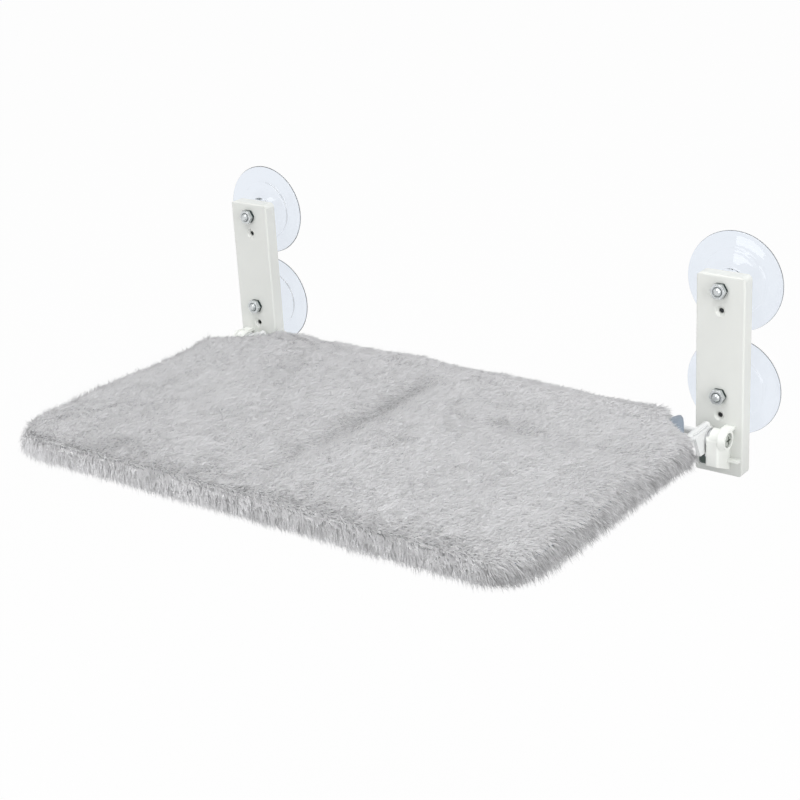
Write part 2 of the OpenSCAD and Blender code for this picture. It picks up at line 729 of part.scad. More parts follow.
// The strips lie between the panel and the flap, clear of the binding
strip_y = flap_rear_y - flap_depth + strip_depth / 4;
module loop_strip() {
    color([0.70, 0.71, 0.74]) translate([-strip_w / 2, strip_y, cover_bottom_z - strip_t])
        cube([strip_w, strip_depth, strip_t]);
}

module hook_strip() {
    color([0.64, 0.65, 0.68]) translate([-strip_w / 2, strip_y, cover_bottom_z - seat - 2 * strip_t])
        cube([strip_w, strip_depth, strip_t]);
}

bracket(-1);  // left_bracket
bracket(1);  // right_bracket
suction_cup(-1, 0);  // left_upper_suction_cup
suction_cup(-1, 1);  // left_lower_suction_cup
suction_cup(1, 0);  // right_upper_suction_cup
suction_cup(1, 1);  // right_lower_suction_cup
cup_studs(-1);  // left_cup_studs
cup_studs(1);  // right_cup_studs
hex_nuts(-1);  // left_hex_nuts
hex_nuts(1);  // right_hex_nuts
hinge_bush(-1);  // left_hinge_bush
hinge_bush(1);  // right_hinge_bush
stop_buffer(-1);  // left_stop_buffer
stop_buffer(1);  // right_stop_buffer
frame_loop();
rear_crossbar();
hinge_link(-1);  // left_hinge_link
hinge_link(1);  // right_hinge_link
hinge_pin(-1);  // left_hinge_pin
hinge_pin(1);  // right_hinge_pin
pin_washer(-1);  // left_pin_washer
pin_washer(1);  // right_pin_washer
pin_screw(-1);  // left_pin_screw
pin_screw(1);  // right_pin_screw
plush_cover();
inner_lining();
foam_pad();
under_panel();
seam_binding();
closing_flap();
loop_strip();
hook_strip();
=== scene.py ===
import math

import bmesh
import bpy
from bpy.props import FloatProperty, FloatVectorProperty, IntProperty, PointerProperty
from mathutils import Matrix, Vector, noise


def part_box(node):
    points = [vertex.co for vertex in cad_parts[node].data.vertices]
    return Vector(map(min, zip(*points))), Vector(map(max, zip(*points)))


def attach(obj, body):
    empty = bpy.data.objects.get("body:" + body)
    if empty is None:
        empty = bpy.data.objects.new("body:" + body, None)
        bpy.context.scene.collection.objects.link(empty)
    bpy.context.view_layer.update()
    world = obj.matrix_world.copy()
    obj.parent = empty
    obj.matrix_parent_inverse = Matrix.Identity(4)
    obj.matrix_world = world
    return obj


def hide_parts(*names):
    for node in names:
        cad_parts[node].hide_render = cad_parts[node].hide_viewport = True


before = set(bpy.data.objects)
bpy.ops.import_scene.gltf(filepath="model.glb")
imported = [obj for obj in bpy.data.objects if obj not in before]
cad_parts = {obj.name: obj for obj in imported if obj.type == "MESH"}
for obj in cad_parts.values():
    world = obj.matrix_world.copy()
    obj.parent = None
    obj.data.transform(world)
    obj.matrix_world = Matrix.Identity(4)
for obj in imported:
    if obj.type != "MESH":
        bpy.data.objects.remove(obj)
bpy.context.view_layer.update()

bl_info = {
    "name": "Window Cat Perch",
    "version": (1, 0, 0),
    "blender": (4, 5, 0),
    "location": "View3D > Sidebar > Cat Perch",
    "description": "Dresses a folding window perch in plush, cloth, clear cups and painted steel",
    "category": "Add Mesh",
}

MM = 0.001
WINDOW = "window_mount"
PERCH = "perch"
SIDES = (-1, 1)


# Places taken from the frame

BOXES = {}


def box(node):
    if node not in BOXES:
        BOXES[node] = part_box(node)
    return BOXES[node]


COVER_LOW, COVER_HIGH = box("plush_cover")
COVER_HALF_W = (COVER_HIGH.x - COVER_LOW.x) / 2
COVER_FRONT_Y = COVER_LOW.y
COVER_REAR_Y = COVER_HIGH.y
COVER_TOP_Z = COVER_HIGH.z
COVER_BOTTOM_Z = COVER_LOW.z
COVER_MID_Y = (COVER_FRONT_Y + COVER_REAR_Y) / 2
COVER_MID_Z = (COVER_TOP_Z + COVER_BOTTOM_Z) / 2
LOOP_LOW, LOOP_HIGH = box("frame_loop")
BRACKET_LOW, BRACKET_HIGH = box("right_bracket")
BRACKET_BACK_Y = BRACKET_HIGH.y
NUT_LOW, NUT_HIGH = box("right_hex_nuts")
BRACKET_FRONT_Y = NUT_HIGH.y
NUT_T = NUT_HIGH.y - NUT_LOW.y
BRACKET_X = (NUT_LOW.x + NUT_HIGH.x) / 2
STUD_END_Y = box("right_cup_studs")[0].y
UPPER_CUP_LOW, UPPER_CUP_HIGH = box("right_upper_suction_cup")
LOWER_CUP_LOW, LOWER_CUP_HIGH = box("right_lower_suction_cup")
CUP_D = UPPER_CUP_HIGH.z - UPPER_CUP_LOW.z
UPPER_STUD_Z = (UPPER_CUP_HIGH.z + UPPER_CUP_LOW.z) / 2
LOWER_STUD_Z = (LOWER_CUP_HIGH.z + LOWER_CUP_LOW.z) / 2
STUD_PITCH = UPPER_STUD_Z - LOWER_STUD_Z
# The brackets' screw holes, which lie as far apart as the studs
SCREW_R = 2.1 * MM
SCREW_BELOW_STUD = 16.8 * MM
SCREW_MID_Z = (UPPER_STUD_Z + LOWER_STUD_Z) / 2 - SCREW_BELOW_STUD
SCREW_HALF_PITCH = STUD_PITCH / 2


# Sizes and colours that a user would change

def length_property(name, description, default_mm, high_mm=1000.0):
    return FloatProperty(name=name, description=description, default=default_mm * MM,
                         min=0.0, max=high_mm * MM, unit="LENGTH", precision=4)


def colour_property(name, description, default):
    return FloatVectorProperty(name=name, description=description, default=default, size=4,
                               min=0.0, max=1.0, subtype="COLOR")


class PERCH_PG_cushion(bpy.types.PropertyGroup):
    corner_r: length_property("Corner Radius", "Radius of the cover's front corners", 38)
    cut: length_property("Rear Cut", "Size of the cut rear corners", 52)
    cut_r: length_property("Cut Radius", "Radius of the edges of the cut corners", 14)
    voxel: length_property("Voxel", "Mesh size of the stuffed form", 5)
    swell: length_property("Swell", "Most that the stuffing pushes the cover out", 2.5)
    pressure: FloatProperty(name="Pressure", description="Pressure of the stuffing", default=4.0)
    fold_x: FloatProperty(name="Fold Place", description="Place of the long fold across the width",
                          default=-4 * MM, unit="LENGTH")
    fold_depth: length_property("Fold Depth", "Depth of the long fold", 2.0)
    fold_w: length_property("Fold Width", "Half width of the long fold", 10)
    cross_y: FloatProperty(name="Cross Fold Place", description="Place of the faint cross fold",
                           default=-131 * MM, unit="LENGTH")
    cross_depth: length_property("Cross Fold Depth", "Depth of the faint cross fold", 0.35)
    skin_t: length_property("Skin", "Thickness of the plush backing", 1.6)
    corner_lip: length_property("Corner Lip", "Reach of the lower wall at the cut corners", 10)
    corner_brow: length_property("Corner Brow", "Reach of the top's edge at the cut corners", 8)
    rear_lift: length_property("Rear Lift", "Rise of the rear rim", 3.6)
    rear_reach: length_property("Rear Reach", "Reach of the rear rim", 4)
    left_reach: length_property("Left Reach", "Reach of the left side, whose pile lies inwards", 7)
    right_tuck: length_property("Right Tuck", "Tuck of the right side, whose pile lies outwards", 2.0)
    hem_w: length_property("Hem", "Width of the hem under the cover", 13)


class PERCH_PG_pile(bpy.types.PropertyGroup):
    density: FloatProperty(name="Density", description="Strands on a square metre",
                           default=2.4e6, min=0.0)
    length: length_property("Length", "Length of a strand on top", 5.4)
    side_share: FloatProperty(name="Side Length", description="How much longer strands are at the sides",
                              default=1.2, min=0.0)
    width: length_property("Width", "Width of a strand at its root", 0.55)
    lean: FloatProperty(name="Lean", description="How far strands lie over, against how far they stand up",
                        default=1.5, min=0.0)
    swirl: FloatProperty(name="Swirl", description="Swirls in the lay of the pile on a metre",
                         default=26.0, min=0.0)
    locks: FloatProperty(name="Locks", description="Locks of strands on a metre", default=110.0, min=0.0)
    tufts: FloatProperty(name="Tufts", description="Tufts of one tone on a metre", default=850.0, min=0.0)
    bands: IntProperty(name="Bands", description="Pieces that the pile is made in", default=8, min=1)
    seed: IntProperty(name="Seed", description="Seed of the strands' places", default=7)


class PERCH_PG_hardware(bpy.types.PropertyGroup):
    cup_step_d: length_property("Cup Step", "Diameter of the thick middle of a cup", 54)
    cup_neck_d: length_property("Cup Neck", "Diameter of a cup's neck", 25)
    cup_hollow: length_property("Cup Hollow", "Rise of the hollow under a cup", 2)
    cup_lip_t: length_property("Cup Lip", "Thickness of a cup's lip", 0.8)
    nut_af: length_property("Nut", "Size of a nut across its flats", 11.1)
    stud_d: length_property("Stud", "Diameter of a stud", 6.35)
    thread_pitch: length_property("Thread Pitch", "Pitch of the studs' thread", 1.27)
    stitch: length_property("Stitch", "Length of a stitch", 3.2)


class PERCH_PG_colours(bpy.types.PropertyGroup):
    plush: colour_property("Plush", "Colour of the plush's strands", (0.64, 0.64, 0.648, 1))
    plush_root: colour_property("Plush Root", "Colour at the roots of the strands", (0.50, 0.50, 0.503, 1))
    moulding: colour_property("Moulding", "Colour of the brackets", (0.795, 0.81, 0.78, 1))
    rod: colour_property("Rod", "Colour of the painted frame", (0.81, 0.82, 0.82, 1))
    lining: colour_property("Lining", "Colour of the inner cloth", (0.27, 0.32, 0.385, 1))
    binding: colour_property("Binding", "Colour of the seam's tape", (0.13, 0.20, 0.22, 1))
    cup: colour_property("Cup", "Tint of the clear cups", (0.83, 0.875, 0.94, 1))
    steel: colour_property("Steel", "Colour of the zinc plating", (0.74, 0.77, 0.78, 1))


class PERCH_PG_stage(bpy.types.PropertyGroup):
    camera_at: FloatVectorProperty(name="Camera Place", description="Place of the camera", size=3,
                                   default=(0.8077, -1.17305, 0.46716), subtype="TRANSLATION")
    yaw: FloatProperty(name="Yaw", description="Turn of the view to the left of +Y",
                       default=math.radians(37.57), subtype="ANGLE")
    pitch: FloatProperty(name="Pitch", description="Tilt of the view below the horizon",
                         default=math.radians(21.17), subtype="ANGLE")
    roll: FloatProperty(name="Roll", description="Roll of the camera",
                        default=math.radians(-3.31), subtype="ANGLE")
    focal_px: FloatProperty(name="Focal Length", description="Focal length in pixels", default=1770.18)
    image_px: IntProperty(name="Image", description="Width and height of the image", default=800)
    centre_px: FloatVectorProperty(name="Centre", description="Place of the view's axis in the image",
                                   size=2, default=(398.64, 387.47))
    floor_below: length_property("Floor", "Depth of the floor below the window cups", 600, 3000)
    world: FloatProperty(name="World Light", description="Level of the light from all sides", default=0.43)
    key: FloatProperty(name="Key Light", description="Power of the large soft lamp", default=28.0)
    side: FloatProperty(name="Side Light", description="Power of the lamp on the right", default=20.0)
    strip: FloatProperty(name="Strip Light", description="Power of the lamp that the cups reflect",
                         default=10.0)


GROUPS = (PERCH_PG_cushion, PERCH_PG_pile, PERCH_PG_hardware, PERCH_PG_colours, PERCH_PG_stage)
NAMES = ("perch_cushion", "perch_pile", "perch_hardware", "perch_colours", "perch_stage")


# Meshes and objects

def unit(value):
    """The value, held between 0 and 1."""
    return min(1.0, max(0.0, value))


def new_object(name, mesh):
    made = bpy.data.objects.new(name, mesh)
    bpy.context.scene.collection.objects.link(made)
    return made


def mesh_object(name, points, faces, smooth=True):
    mesh = bpy.data.meshes.new(name)
    mesh.from_pydata([tuple(p) for p in points], [], [tuple(f) for f in faces])
    mesh.validate()
    mesh.update()
    mesh.shade_smooth() if smooth else mesh.shade_flat()
    return new_object(name, mesh)


def bmesh_object(name, bm, smooth=True):
    mesh = bpy.data.meshes.new(name)
    bm.to_mesh(mesh)
    bm.free()
    mesh.shade_smooth() if smooth else mesh.shade_flat()
    return new_object(name, mesh)


def baked(piece, name=None):
    """Turns a piece with modifiers into a plain mesh."""
    bpy.context.view_layer.update()
    evaluated = piece.evaluated_get(bpy.context.evaluated_depsgraph_get())
    mesh = bpy.data.meshes.new_from_object(evaluated, preserve_all_data_layers=True,
                                           depsgraph=bpy.context.evaluated_depsgraph_get())
    piece.modifiers.clear()
    piece.data = mesh
    mesh.name = name or piece.name
    return piece


def thickened(piece, thickness, offset=0.0):
    """Gives a surface its thickness. An offset of -1 puts it all on the inside."""
    thick = piece.modifiers.new("Solidify", "SOLIDIFY")
    thick.thickness = thickness
    thick.offset = offset
    return baked(piece)


def drop(piece):
    bpy.data.objects.remove(piece, do_unlink=True)


def finish_piece(piece, material, body, slot, *nodes):
    piece.data.materials.clear()
    piece.data.materials.append(material)
    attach(piece, body)
    if nodes:
        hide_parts(*nodes)
    return piece


def dress(node, material):
    """Gives a CAD node its material."""
    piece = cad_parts[node]
    piece.data.materials.clear()
    piece.data.materials.append(material)


# Node building

FLOAT = "NodeSocketFloat"
COLOUR = "NodeSocketColor"
GEOMETRY = "NodeSocketGeometry"
MATERIAL = "NodeSocketMaterial"
OBJECT = "NodeSocketObject"
GREY = (0.5, 0.5, 0.5, 1.0)
# Numbers of a mix node's two inputs and its output, for each kind of value
MIX_SOCKETS = {"FLOAT": (2, 3, 0), "VECTOR": (4, 5, 1), "RGBA": (6, 7, 2)}


class Field:
    """A number from a node's output, with which sums and products can be written."""

    def __init__(self, tree, socket):
        self.tree = tree
        self.socket = socket

    def math(self, operation, other=0.0, flipped=False):
        a, b = (other, self) if flipped else (self, other)
        made = put(self.tree, "ShaderNodeMath", {0: a, 1: b}, operation=operation)
        return Field(self.tree, made.outputs[0])

    def __add__(self, other):
        return self.math("ADD", other)

    def __sub__(self, other):
        return self.math("SUBTRACT", other)

    def __rsub__(self, other):
        return self.math("SUBTRACT", other, flipped=True)

    def __mul__(self, other):
        return self.math("MULTIPLY", other)

    __radd__ = __add__
    __rmul__ = __mul__


def fill(tree, sockets, values):
    """Values maps a socket's name or number to a value, or to an output that is linked to it."""
    for key, value in values.items():
        if isinstance(value, Field):
            value = value.socket
        if isinstance(value, bpy.types.NodeSocket):
            tree.links.new(value, sockets[key])
        else:
            sockets[key].default_value = value


def put(tree, kind, inputs=None, **settings):
    """Adds a node with the given settings and inputs."""
    made = tree.nodes.new(kind)
    for name, value in settings.items():
        setattr(made, name, value)
    fill(tree, made.inputs, inputs or {})
    return made


def vector_node(tree, operation, a, b=(0, 0, 0)):
    return put(tree, "ShaderNodeVectorMath", {0: a, 1: b}, operation=operation).outputs[0]


def scaled(tree, vector, factor):
    return put(tree, "ShaderNodeVectorMath", {0: vector, "Scale": factor}, operation="SCALE").outputs[0]


def mixed(tree, kind, share, a, b):
    first, second, out = MIX_SOCKETS[kind]
    return put(tree, "ShaderNodeMix", {0: share, first: a, second: b}, data_type=kind).outputs[out]


def ranged(tree, value, low, high, to_low, to_high):
    """Carries a value from one span to another and holds it to the ends."""
    made = put(tree, "ShaderNodeMapRange", {"Value": value, 1: low, 2: high, 3: to_low, 4: to_high})
    return Field(tree, made.outputs[0])


def clouds(tree, place, scale, detail):
    made = put(tree, "ShaderNodeTexNoise", {"Vector": place, "Scale": scale, "Detail": detail})
    return Field(tree, made.outputs["Fac"])


def drawn_lot(tree, low, high, seed):
    made = put(tree, "FunctionNodeRandomValue", {2: low, 3: high, "Seed": seed})
    return Field(tree, made.outputs[1])


def axes(tree, vector):
    """The X, Y and Z of a vector."""
    return [Field(tree, part) for part in put(tree, "ShaderNodeSeparateXYZ", {"Vector": vector}).outputs]


def own_place(tree):
    return put(tree, "ShaderNodeTexCoord").outputs["Object"]


def node_group(name, kind, inputs, outputs):
    """An empty node group with the given sockets. Gives the tree and the sockets of its two ends."""
    tree = bpy.data.node_groups.new(name, kind)
    for label, socket_kind, value in inputs:
        socket = tree.interface.new_socket(label, in_out="INPUT", socket_type=socket_kind)
        if value is not None:
            socket.default_value = value
    for label, socket_kind in outputs:
        tree.interface.new_socket(label, in_out="OUTPUT", socket_type=socket_kind)
    return tree, tree.nodes.new("NodeGroupInput").outputs, tree.nodes.new("NodeGroupOutput").inputs


def mottle_group():
    """Soft clouds over a colour, which also vary the roughness."""
    tree, start, end = node_group(
        "Mottle", "ShaderNodeTree",
        [("Color", COLOUR, GREY), ("Dark", FLOAT, 0.9), ("Scale", FLOAT, 40.0),
         ("Roughness", FLOAT, 0.5), ("Spread", FLOAT, 0.1)],
        [("Color", COLOUR), ("Roughness", FLOAT)])
    cloud = clouds(tree, own_place(tree), start["Scale"], 5.0)
    dark = scaled(tree, start["Color"], start["Dark"])
    fill(tree, end, {"Color": mixed(tree, "RGBA", cloud, dark, start["Color"]),
                     "Roughness": start["Roughness"] + (cloud - 0.5) * start["Spread"]})
    return tree


def weave_group():
    """Plain weave of warp and weft on the object's own coordinates."""
    tree, start, end = node_group(
        "Plain Weave", "ShaderNodeTree",
        [("Color", COLOUR, GREY), ("Threads", FLOAT, 900.0), ("Shade", FLOAT, 0.7)],
        [("Color", COLOUR), ("Height", FLOAT)])
    place = own_place(tree)
    warp, weft = [(axis * start["Threads"]).math("SINE").math("ABSOLUTE")
                  for axis in axes(tree, place)[:2]]
    height = warp.math("MAXIMUM", weft) * (clouds(tree, place, 60.0, 4.0) + 0.5)
    dark = scaled(tree, start["Color"], start["Shade"])
    fill(tree, end, {"Color": mixed(tree, "RGBA", height, dark, start["Color"]), "Height": height})
    return tree


# Materials

def new_material(name, **values):
    """A material, its tree and its shader, with the shader's inputs set by name."""
    material = bpy.data.materials.new(name)
    material.use_nodes = True
    tree = material.node_tree
    shader = tree.nodes["Principled BSDF"]
    fill(tree, shader.inputs, {label.replace("_", " "): value for label, value in values.items()})
    return material, tree, shader


def surface_of(material):
    """The tree and shader of a finished material, and what it links to its colour."""
    tree = material.node_tree
    shader = tree.nodes["Principled BSDF"]
    return tree, shader, shader.inputs["Base Color"].links[0].from_socket


def mottle(tree, shader, colour, roughness, dark, scale, spread):
    made = put(tree, "ShaderNodeGroup", {"Color": colour, "Dark": dark, "Scale": scale,
               "Roughness": roughness, "Spread": spread}, node_tree=bpy.data.node_groups["Mottle"])
    fill(tree, shader.inputs, {"Base Color": made.outputs["Color"],
                               "Roughness": made.outputs["Roughness"]})


def bump(tree, shader, strength, depth, height):
    made = put(tree, "ShaderNodeBump", {"Strength": strength, "Distance": depth, "Height": height})
    fill(tree, shader.inputs, {"Normal": made.outputs["Normal"]})


def fine_bump(tree, shader, scale, strength, depth):
    bump(tree, shader, strength, depth, clouds(tree, own_place(tree), scale, 3.0))


def plastic(name, colour, roughness, grain=900.0, strength=0.12):
    material, tree, shader = new_material(name)
    mottle(tree, shader, colour, roughness, dark=0.965, scale=35.0, spread=0.12)
    fine_bump(tree, shader, grain, strength, 0.1 * MM)
    return material


def metal(name, colour, roughness):
    material, tree, shader = new_material(name, Metallic=1.0)
    mottle(tree, shader, colour, roughness, dark=0.8, scale=160.0, spread=0.25)
    fine_bump(tree, shader, 1400.0, 0.1, 0.05 * MM)
    return material


# Dark colour of the painted reflection on the sides of nuts and studs
PAINTED_DARK_REFLECTION = (0.035, 0.055, 0.055, 1)


def steel_with_painted_reflection(colour):
    """Plating with a painted reflection: dark on the sides of a nut or stud and on its half by the bracket,
    bright on what faces the room.
    """
    material = metal("Zinc plated nuts", colour, 0.24)
    tree, shader, plain = surface_of(material)
    place = put(tree, "ShaderNodeTexCoord").outputs
    # painted reflection: noisy swirls and the facing of the surface set where the plating shows dark or
    # bright
    swirl = clouds(tree, place["Object"], 420.0, 2.0)
    front = (swirl - 0.5) * 0.9 - axes(tree, place["Normal"])[1]
    # the half of a nut away from the bracket gets most of the bright painted reflection
    outer = ranged(tree, axes(tree, place["Object"])[1], BRACKET_FRONT_Y - 0.35 * NUT_T,
                   BRACKET_FRONT_Y - 0.5 * NUT_T, 0.0, 0.75)
    painted_reflection = ranged(tree, front, 0.35, 0.85, 0.0, 1.0).math("MAXIMUM", outer)
    fill(tree, shader.inputs, {"Base Color": mixed(tree, "RGBA", painted_reflection, PAINTED_DARK_REFLECTION, plain),
                               "Metallic": ranged(tree, painted_reflection, 0.0, 1.0, 1.0, 0.45)})
    return material


def moulding_with_painted_shade(material):
    """Paints shade into the depth of the brackets' screw holes and towards the bottom of the brackets, and
    paints light onto the hinge blocks.
    """
    tree, shader, plain = surface_of(material)
    x, y, z = axes(tree, own_place(tree))
    from_bore = put(tree, "ShaderNodeCombineXYZ", {
        "X": x.math("ABSOLUTE") - BRACKET_X,
        "Y": (z - SCREW_MID_Z).math("ABSOLUTE") - SCREW_HALF_PITCH})
    away = put(tree, "ShaderNodeVectorMath", {0: from_bore.outputs[0]}, operation="LENGTH")
    inside = Field(tree, away.outputs["Value"]).math("LESS_THAN", SCREW_R * 1.1)
    # painted shade deep in the screw holes
    depth = ranged(tree, y, BRACKET_FRONT_Y + SCREW_R, BRACKET_FRONT_Y + 2 * SCREW_R, 0.0, 0.9)
    # painted shade, darker towards the bottom of each bracket
    foot_shade = ranged(tree, z, BRACKET_LOW.z, BRACKET_LOW.z + 50 * MM, 0.86, 1.0)
    # painted light on the hinge blocks, which stand out in front of the bracket
    block_light = ranged(tree, y, BRACKET_FRONT_Y - 1 * MM, BRACKET_FRONT_Y - 3 * MM, 0.0, 0.16)
    shade = (1.0 - inside * depth) * (foot_shade + block_light)
    fill(tree, shader.inputs, {"Base Color": scaled(tree, plain, shade)})
    return material


def woven(name, colour, threads, roughness=0.85):
    material, tree, shader = new_material(name, Roughness=roughness, Sheen_Weight=0.25)
    weave = put(tree, "ShaderNodeGroup", {"Color": colour, "Threads": threads},
                node_tree=bpy.data.node_groups["Plain Weave"])
    fill(tree, shader.inputs, {"Base Color": weave.outputs["Color"]})
    bump(tree, shader, 0.6, 0.25 * MM, weave.outputs["Height"])
    return material


def clear_cup_material(colour):
    material, tree, shader = new_material("Clear soft cup", Base_Color=colour, Transmission_Weight=1.0,
                                          Roughness=0.03, IOR=1.42)
    fine_bump(tree, shader, 45.0, 0.15, 0.6 * MM)
    return material


def plush_skin_material(colours):
    material, tree, shader = new_material("Plush backing", Sheen_Weight=0.3)
    mottle(tree, shader, colours.plush, 0.95, dark=0.9, scale=220.0, spread=0.05)
    fine_bump(tree, shader, 700.0, 0.8, 1.0 * MM)
    return material


ALONG = "pile_along"
TONE_AND_SHADE = "pile_tone"
FACING = "pile_facing"
CREASE = "pile_crease"
NAP_TURN = math.radians(-8)
# Painted shade of the pile: its brightness from skin that faces down (0) to skin that faces up (1)
PAINTED_SIDE_SHADE = ((0.35, 0.74), (0.5, 0.88), (0.65, 0.86), (0.85, 0.85), (0.95, 0.90))
PAINTED_SHADE_FACING_DOWN = 0.6


def plush_pile_material(colours):
    """Strands are darker at the root and vary a little from one to the next."""
    material, tree, shader = new_material("Plush pile", Roughness=0.85, Specular_IOR_Level=0.15)
    along, tone, facing = [put(tree, "ShaderNodeAttribute", attribute_name=name).outputs
                           for name in (ALONG, TONE_AND_SHADE, FACING)]
    place = own_place(tree)
    face_x, face_y, face_z = axes(tree, facing["Vector"])
    # the strands' tone, which also carries the painted shade between locks and in the folds
    level = (ranged(tree, tone["Fac"], -1.0, 1.0, 0.40, 1.14)
             * ranged(tree, clouds(tree, place, 70.0, 4.0), 0.3, 0.7, 0.94, 1.03))
    # painted shade where the skin faces sideways or down, less of it on the sides that face the rear
    side_shade = put(tree, "ShaderNodeFloatCurve", {"Value": ranged(tree, face_z, -1.0, 1.0, 0.0, 1.0)})
    curve = side_shade.mapping.curves[0]
    curve.points[0].location = (0.0, PAINTED_SHADE_FACING_DOWN)
    curve.points[1].location = (1.0, 1.0)
    for upness, share in PAINTED_SIDE_SHADE:
        curve.points.new(upness, share)
    side_shade.mapping.update()
    turned_away = ranged(tree, face_y, 0.0, 0.4, 0.0, 0.9)
    level = level * mixed(tree, "FLOAT", turned_away, side_shade.outputs[0], 1.0)
    # painted light on the sides: lighter on those that face the front than on the right, and lighter to the
    # left
    painted_left_light = ranged(tree, axes(tree, place)[0], -COVER_HALF_W, COVER_HALF_W, 0.14, 0.0)
    painted_front_light = ranged(tree, face_x, 0.0, 0.8, 0.24, -0.08)
    at_side = ranged(tree, face_z, 0.98, 0.5, 0.0, 1.0)
    level = level * (1.0 + (painted_left_light + painted_front_light) * at_side)
    colour = scaled(tree, mixed(tree, "RGBA", along["Fac"], colours.plush_root, colours.plush), level)
    in_world = put(tree, "ShaderNodeVectorTransform", {"Vector": facing["Vector"]},
                   vector_type="NORMAL", convert_from="OBJECT", convert_to="WORLD").outputs[0]
    fill(tree, shader.inputs, {"Base Color": colour, "Normal": in_world})
    # a strand is lit like the skin under it whichever of its faces is seen
    through = put(tree, "ShaderNodeBsdfTranslucent",
                  {"Color": colour, "Normal": scaled(tree, in_world, -1.0)})
    both = put(tree, "ShaderNodeAddShader", {0: shader.outputs[0], 1: through.outputs[0]})
    tree.links.new(both.outputs[0], tree.nodes["Material Output"].inputs["Surface"])
    return material


def foam_material():
    material, tree, shader = new_material("Foam")
    mottle(tree, shader, (0.82, 0.79, 0.68, 1), 0.95, dark=0.9, scale=30.0, spread=0.05)
    cells = put(tree, "ShaderNodeTexVoronoi", {"Vector": own_place(tree), "Scale": 700.0})
    bump(tree, shader, 0.6, 0.5 * MM, cells.outputs["Distance"])
    return material


MATERIALS = {}


def make_materials():
    colours = bpy.context.scene.perch_colours
    mottle_group()
    weave_group()
    MATERIALS.update({
        "moulding": moulding_with_painted_shade(plastic("White moulding", colours.moulding, 0.42)),
        "rod": plastic("White painted steel", colours.rod, 0.32, grain=500.0),
        "bush": plastic("Bush plastic", (0.60, 0.61, 0.62, 1), 0.5),
        # the stop buffers' dark colour is their rubber and also painted shade under the hinge links
        "rubber": plastic("Black rubber", (0.085, 0.11, 0.10, 1), 0.75, grain=1500.0, strength=0.4),
        "steel": metal("Zinc plated steel", colours.steel, 0.22),
        "nut": steel_with_painted_reflection(colours.steel),
        "screw": metal("Zinc plated screw", (0.52, 0.55, 0.51, 1), 0.3),
        "cup": clear_cup_material(colours.cup),
        "skin": plush_skin_material(colours),
        "pile": plush_pile_material(colours),
        "lining": woven("Lining cloth", colours.lining, 5200.0),
        "binding": woven("Binding tape", colours.binding, 6500.0),
        "thread": woven("Sewing thread", (0.55, 0.57, 0.58, 1), 9000.0),
        "loop": woven("Loop tape", (0.45, 0.46, 0.49, 1), 4200.0, roughness=0.95),
        "hook": woven("Hook tape", (0.36, 0.37, 0.40, 1), 7000.0, roughness=0.6),
        "foam": foam_material(),
    })


# The cover's plan, as in the frame: round front corners and cut rear corners

REAR_CUT_TURN = 45.0


def round_corner(at, start, end, r, steps):
    """Points of a rounded corner between edges whose normals point at start and end, in degrees."""
    n0 = Vector((math.cos(math.radians(start)), math.sin(math.radians(start))))
    n1 = Vector((math.cos(math.radians(end)), math.sin(math.radians(end))))
    centre = at - r * (n0 + n1) / (1 + n0.dot(n1))
    turns = [math.radians(start + (end - start) * i / steps) for i in range(steps + 1)]
    return [centre + r * Vector((math.cos(t), math.sin(t))) for t in turns]


def plan_corners(inset, cut, corner_r, cut_r, steps=8):
    x = COVER_HALF_W - inset
    front = COVER_FRONT_Y + inset
    rear = COVER_REAR_Y - inset
    c = cut - inset * (2 - math.sqrt(2))
    r = max(corner_r - inset, 2 * MM)
    rc = max(cut_r - inset, 2 * MM)
    half = steps // 2
    return (round_corner(Vector((x, front)), -90, 0, r, steps)
            + round_corner(Vector((x, rear - c)), 0, REAR_CUT_TURN, rc, half)
            + round_corner(Vector((x - c, rear)), REAR_CUT_TURN, 90, rc, half)
            + round_corner(Vector((c - x, rear)), 90, 90 + REAR_CUT_TURN, rc, half)
            + round_corner(Vector((-x, rear - c)), 90 + REAR_CUT_TURN, 180, rc, half)
            + round_corner(Vector((-x, front)), 180, 270, r, steps))


def spaced(points, count):
    """The same closed outline with its points a steady distance apart."""
    loop = points + [points[0]]
    steps = [(b - a).length for a, b in zip(loop, loop[1:])]
    total = sum(steps)
    found = []
    index, passed = 0, 0.0
    for i in range(count):
        target = total * i / count
        while passed + steps[index] < target:
            passed += steps[index]
            index += 1
        share = (target - passed) / max(steps[index], 1e-9)
        found.append(loop[index].lerp(loop[index + 1], share))
    return found


def plan(inset, count, cut=None):
    cushion = bpy.context.scene.perch_cushion
    cut = cut or cushion.cut
    return spaced(plan_corners(inset, cut, cushion.corner_r, cushion.cut_r), count)


def grid_faces(rows, count, joined=False, rings=True):
    """Faces between rows of points. Rows are rings, or open, and joined also joins last to first."""
    faces = []
    for i in range(rows if joined else rows - 1):
        for j in range(count if rings else count - 1):
            k, m = (j + 1) % count, (i + 1) % rows
            faces.append((i * count + j, i * count + k, m * count + k, m * count + j))
    return faces


def fan(centre, first, count, flipped=False):
    """Triangles from a point to a ring whose points begin with the given one."""
    edges = [(first + j, first + (j + 1) % count) for j in range(count)]
    return [(centre, b, a) if flipped else (centre, a, b) for a, b in edges]


def outward(mesh_obj):
    bm = bmesh.new()
    bm.from_mesh(mesh_obj.data)
    bmesh.ops.remove_doubles(bm, verts=bm.verts, dist=0.01 * MM)
    bmesh.ops.recalc_face_normals(bm, faces=bm.faces)
    bm.to_mesh(mesh_obj.data)
    bm.free()
    return mesh_obj


# Plush cover

CROWN = 1.0 * MM
CLOTH_FRAMES = 20


